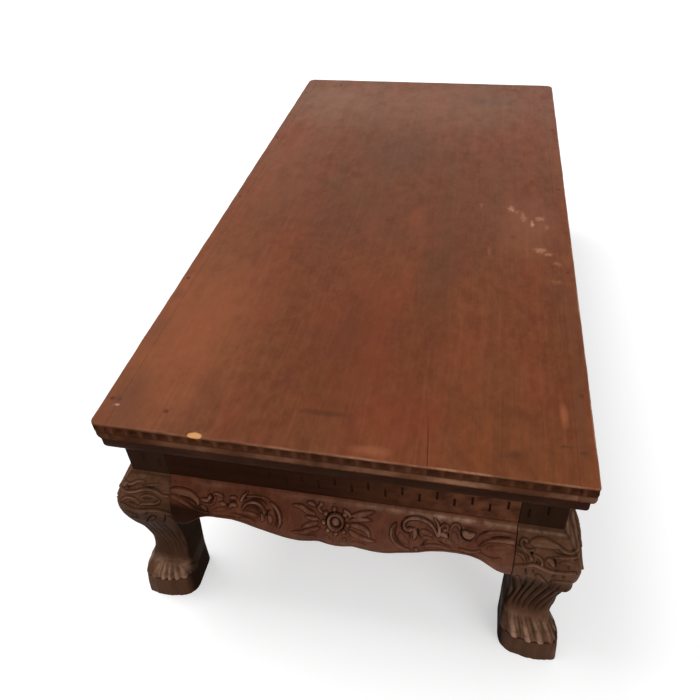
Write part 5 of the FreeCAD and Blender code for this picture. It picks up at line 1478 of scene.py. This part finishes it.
def make_leg(corner, collar, toe_strokes, seed):
    """A carved leg: rounded sections stacked up, then raised by its carving.

    The front legs lean a little, as hand-made ones do, and every knee stands
    out more on the table's long side.
    """
    own = {**USUAL_LEG, **OWN_LEGS.get(corner, {})}
    heights = np.concatenate([np.linspace(low, high, count, endpoint=False)
                              for low, high, count in LEG_ROWS] + [[RAIL_FOOT]])
    x, y, on_face = leg_plan(heights)
    z = np.broadcast_to(heights[:, None], x.shape)
    nearer = np.minimum(x, y)
    on_face = on_face & ((nearer < POST_INSET) | (z < APRON_FOOT))
    base = np.stack([x, y, z], -1)
    normal = grid_normals(base)
    from_middle = np.stack([x - LEG_MIDDLE, y - LEG_MIDDLE, 0 * z], -1)
    normal = normal * np.sign((normal * from_middle).sum(-1))[..., None]
    # Faces turned in towards the leg's middle, which are given painted shade
    hidden = fall("turned in", -normal[..., :2].min(axis=-1))
    inward = np.maximum(x, y)
    to_joint = LEG_WIDTH - inward
    depth = TOP - z
    on_front = rise("front face", x - y if collar is COLLAR_LEFT else y - x)
    toe_share = on_front if collar is COLLAR_RIGHT else lerp(SIDE_TOES, 1, on_front)

    raised, sunk = (KNEE_RELIEF * share for share in carve(inward, depth, collar))
    more, less = (own["shin relief"] * share for share in carve(inward, depth, SHIN))
    toes, gaps = (own["toe relief"] * share
                  for share in carve(inward, depth, toe_strokes))
    raised = np.maximum(np.maximum(raised, more), toes * toe_share)
    sunk = np.maximum(np.maximum(sunk, less), gaps * rise("toe gaps", depth))
    scallop = TOE_SCALLOP * (np.clip(toes / TOE_HEIGHT, 0, 1) - 0.5)
    below_toes = depth - TOE_FOOT_DEPTH - scallop
    above_plinth = fall("plinth", below_toes)
    carved = (rise("leg carving", to_joint) * above_plinth
              * rise("collar head", depth - LEDGE_DEPTH) * on_face)
    raised, sunk = raised * carved, sunk * carved

    swell = TOE_SWELL * rise("toe swell", depth) * above_plinth * on_face * toe_share
    undercut = bell(below_toes - UNDERCUT["down"], UNDERCUT["width"]) * on_face
    adze = (uneven("adze", inward, seed) * rise("adze", below_toes)
            + uneven("leg down", depth, seed) + uneven("leg across", inward, seed))
    at_joint = fall("joint", to_joint) * on_face * (z > APRON_FOOT)
    slots = slot_cuts(inward, z) * on_face * (z > WAIST_FOOT)
    if corner == "front_left":
        slots, at_joint = SLOT["filled"] * slots, SOFT_JOINT * at_joint
    on_knee = (depth > LEDGE_DEPTH + 3) * on_face
    wide_knee = (SIDE_KNEE * (1 - on_front) * on_face * rise("wide knee head", depth)
                 * fall("wide knee foot", depth) * rise("wide knee joint", to_joint))
    low_knee = (own["low knee"] * rise("low knee head", depth) * on_face
                * fall("low knee foot", depth) * fall("low knee side", nearer + y))
    height = (raised - sunk + low_knee + swell - UNDERCUT["depth"] * undercut
              + adze * on_knee + wide_knee - JOINT_CUT * at_joint * on_knee - slots)
    ledge = bell(depth - LEDGE_DEPTH, LEDGE_WIDTH) * on_face
    points = base + normal * (height - LEG_LEDGE_WEAR * ledge)[..., None]
    points[..., 2] = np.where((z <= 0) | (z >= RAIL_FOOT), z, points[..., 2])
    points[..., 2] = np.clip(points[..., 2], 0, RAIL_FOOT)

    # Wear on the relief and the arris, painted highlights on the toe tips and the ledge, and wear
    # with painted light on the foot's top
    arris = bell(inward - nearer, ARRIS_WIDTH) * on_face * (depth > LEDGE_DEPTH + 4)
    tip_highlights = rise("toe tip", toes) * rise("tip depth", depth) * above_plinth
    on_toes = (toe_share * rise("toe rub", depth) * above_plinth
               * (1 - LEG_WEAR_AND_HIGHLIGHT["inner toes"] * rise("inner toes", inward)))
    if collar is COLLAR_LEFT:
        on_toes = on_toes * rise("outer toes", inward)
    toe_wear_and_light = own["toe rub"] + LEG_WEAR_AND_HIGHLIGHT["toes"] * rise("toe relief", toes)
    bright = lerp(*LEG_WEAR_AND_HIGHLIGHT["ledge"], own["ledge rub"]) + uneven("leg ledge", inward, seed)
    wear_and_highlight = np.clip(LEG_WEAR_AND_HIGHLIGHT["relief"] * rise("leg relief", raised) + LEG_WEAR_AND_HIGHLIGHT["arris"] * arris
                  + LEG_WEAR_AND_HIGHLIGHT["tip_highlights"] * tip_highlights + toe_wear_and_light * on_toes + ledge * bright, 0, 1)
    # Painted shade: gloom down the shins and inner faces, unlit posts and turned-in faces, and the
    # shadow under the toes; dirt on the plinth, at the joint and in the cuts
    on_shin = LEG_DIRT_AND_SHADE["shin"] * rise("shin head", depth) * fall("shin foot", depth)
    gloom = (own["gloom"] * ease(depth, *own["gloom head"])
             * (1 - ease(depth, *own["gloom foot"])) * (1 + on_shin))
    inner = (own["inner gloom"] * rise("inner leg", inward) * rise("inner head", depth)
             * fall("inner foot", depth))
    grime_and_shade = (LEG_DIRT_AND_SHADE["plinth"] * rise("plinth dirt", below_toes)
             + LEG_DIRT_AND_SHADE["undercut"] * undercut + LEG_DIRT_AND_SHADE["joint"] * at_joint)
    unlit = LEG_DIRT_AND_SHADE["unlit"] * (on_face * (z > WAIST_FOOT) + hidden)
    dirt_and_shade = np.clip(sunk / LEG_DIRT_DEPTH + slots / SLOT_DIRT_DEPTH + grime_and_shade
                   + np.maximum(gloom, inner) + unlit, 0, LEG_DIRT_AND_SHADE["most"])
    placed = turn_corner(points, corner)
    placed[..., 0] += hand_made_lean(x, y, z, corner, own["lean"])
    marks = {"wear_and_highlight": wear_and_highlight * on_face, "dirt_and_shade": dirt_and_shade * np.ones(wear_and_highlight.shape)}
    grid_piece(f"carved_leg_{corner}", placed, marks, leg_finish,
               [f"leg_{corner}"])


make_top_plank()
for name in ("left", "right"):
    make_top_strip(name)
for name in SIDES:
    make_waist(name)
    make_apron(name)
for number, name in enumerate(CORNERS):
    strokes = [(COLLAR_LEFT, NARROW_TOES), (COLLAR_RIGHT, TOES)][number % 2]
    make_leg(name, *strokes, LEG_SEED + number)

CAD_FINISHES = {"moulding_rail": moulding_finish,
                "batten": hidden_finish, "joint_pegs": hidden_finish,
                "strip_nails": iron_finish, "end_nails": iron_finish}
for name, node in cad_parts.items():
    for start, finish in CAD_FINISHES.items():
        if name.startswith(start):
            node.data.materials.clear()
            node.data.materials.append(finish)


# The floor, the light and the camera

FLOOR_REACH = 14.0
BACKGROUND = (1, 1, 1, 1)
FLOOR_COLOUR = (0.75, 0.75, 0.75, 1)
FLOOR_LIFT = 0.44
FLOOR_ROUGHNESS = 0.9
DOME_STRENGTH = 0.55
SEEN_STRENGTH = 1.0

# Lamps: place, target, size and power, in metres and watts
LAMPS = {"key": ((-2.6, 0.6, 5.4), (0, 0, 0.2), 3.4, 190),
         "fill": ((3.6, -3.4, 3.2), (0, -0.1, 0.15), 3.0, 70)}


def seen_directly(nodes, links):
    """One for rays from the camera or off gloss or through glass, else zero."""
    path = nodes.new("ShaderNodeLightPath")
    level = path.outputs["Is Camera Ray"]
    for ray in ("Is Glossy Ray", "Is Transmission Ray"):
        either = nodes.new("ShaderNodeMath")
        either.operation = "MAXIMUM"
        links.new(level, either.inputs[0])
        links.new(path.outputs[ray], either.inputs[1])
        level = either.outputs["Value"]
    return level


def ranged(nodes, links, level, low, high):
    """A level from zero to one made to run from low to high."""
    node = nodes.new("ShaderNodeMapRange")
    links.new(level, node.inputs["Value"])
    node.inputs["To Min"].default_value = low
    node.inputs["To Max"].default_value = high
    return node.outputs["Result"]


def make_floor():
    """A wide pale floor just under the feet, a little lighter where it is seen."""
    mesh = bpy.data.meshes.new("floor")
    reach = FLOOR_REACH / 2
    mesh.from_pydata([(-reach, -reach, 0), (reach, -reach, 0),
                      (reach, reach, 0), (-reach, reach, 0)], [], [(0, 1, 2, 3)])
    floor = bpy.data.objects.new("floor", mesh)
    bpy.context.scene.collection.objects.link(floor)
    material = bpy.data.materials.new("pale floor")
    material.use_nodes = True
    nodes, links = material.node_tree.nodes, material.node_tree.links
    shader = nodes["Principled BSDF"]
    shader.inputs["Base Color"].default_value = FLOOR_COLOUR
    shader.inputs["Roughness"].default_value = FLOOR_ROUGHNESS
    shader.inputs["Specular IOR Level"].default_value = 0
    shader.inputs["Emission Color"].default_value = BACKGROUND
    lift = ranged(nodes, links, seen_directly(nodes, links), 0, FLOOR_LIFT)
    links.new(lift, shader.inputs["Emission Strength"])
    mesh.materials.append(material)


def make_world(strength, white):
    """A grey dome of light that looks white to the camera and in reflections."""
    world = bpy.data.worlds.new("studio")
    bpy.context.scene.world = world
    world.use_nodes = True
    nodes, links = world.node_tree.nodes, world.node_tree.links
    background = nodes["Background"]
    background.inputs["Color"].default_value = BACKGROUND
    level = ranged(nodes, links, seen_directly(nodes, links), strength, white)
    links.new(level, background.inputs["Strength"])


def aim(thing, place, target, roll=0.0):
    """Stand a camera or a lamp at a place, looking at a target."""
    forward = (Vector(target) - Vector(place)).normalized()
    right = forward.cross(Vector((0, 0, 1))).normalized()
    up = right.cross(forward)
    pose = Matrix((right, up, -forward)).transposed().to_4x4()
    pose = pose @ Matrix.Rotation(math.radians(roll), 4, "Z")
    thing.matrix_world = Matrix.Translation(place) @ pose


def make_lamp(name, place, target, size, power):
    """A square soft lamp."""
    light = bpy.data.lights.new(name, "AREA")
    light.size = size
    light.energy = power
    lamp = bpy.data.objects.new(name, light)
    bpy.context.scene.collection.objects.link(lamp)
    aim(lamp, place, target)


# The camera's place and aim in metres, found from the photo's perspective
CAMERA_PLACE = (0.1119, -0.8124, 0.782)
CAMERA_TARGET = (-0.0405, -0.1458, 0.25)
CAMERA_ROLL = -3.2
PHOTO_WIDTH = 700
FOCAL_PIXELS = 659.9
CENTRE_PIXEL = (350, 290)
SENSOR = 36.0
FARTHEST = 50


def make_camera():
    """The photo's viewpoint, with the lens worked out from its focal length."""
    lens = bpy.data.cameras.new("camera")
    lens.sensor_width = SENSOR
    lens.lens = FOCAL_PIXELS / PHOTO_WIDTH * SENSOR
    lens.shift_x = (PHOTO_WIDTH / 2 - CENTRE_PIXEL[0]) / PHOTO_WIDTH
    lens.shift_y = (CENTRE_PIXEL[1] - PHOTO_WIDTH / 2) / PHOTO_WIDTH
    lens.clip_end = FARTHEST
    camera = bpy.data.objects.new("camera", lens)
    bpy.context.scene.collection.objects.link(camera)
    aim(camera, CAMERA_PLACE, CAMERA_TARGET, CAMERA_ROLL)
    bpy.context.scene.camera = camera


make_floor()
make_world(DOME_STRENGTH, SEEN_STRENGTH)
for name, settings in LAMPS.items():
    make_lamp(name, *settings)
make_camera()
bpy.context.scene.view_settings.view_transform = "Standard"
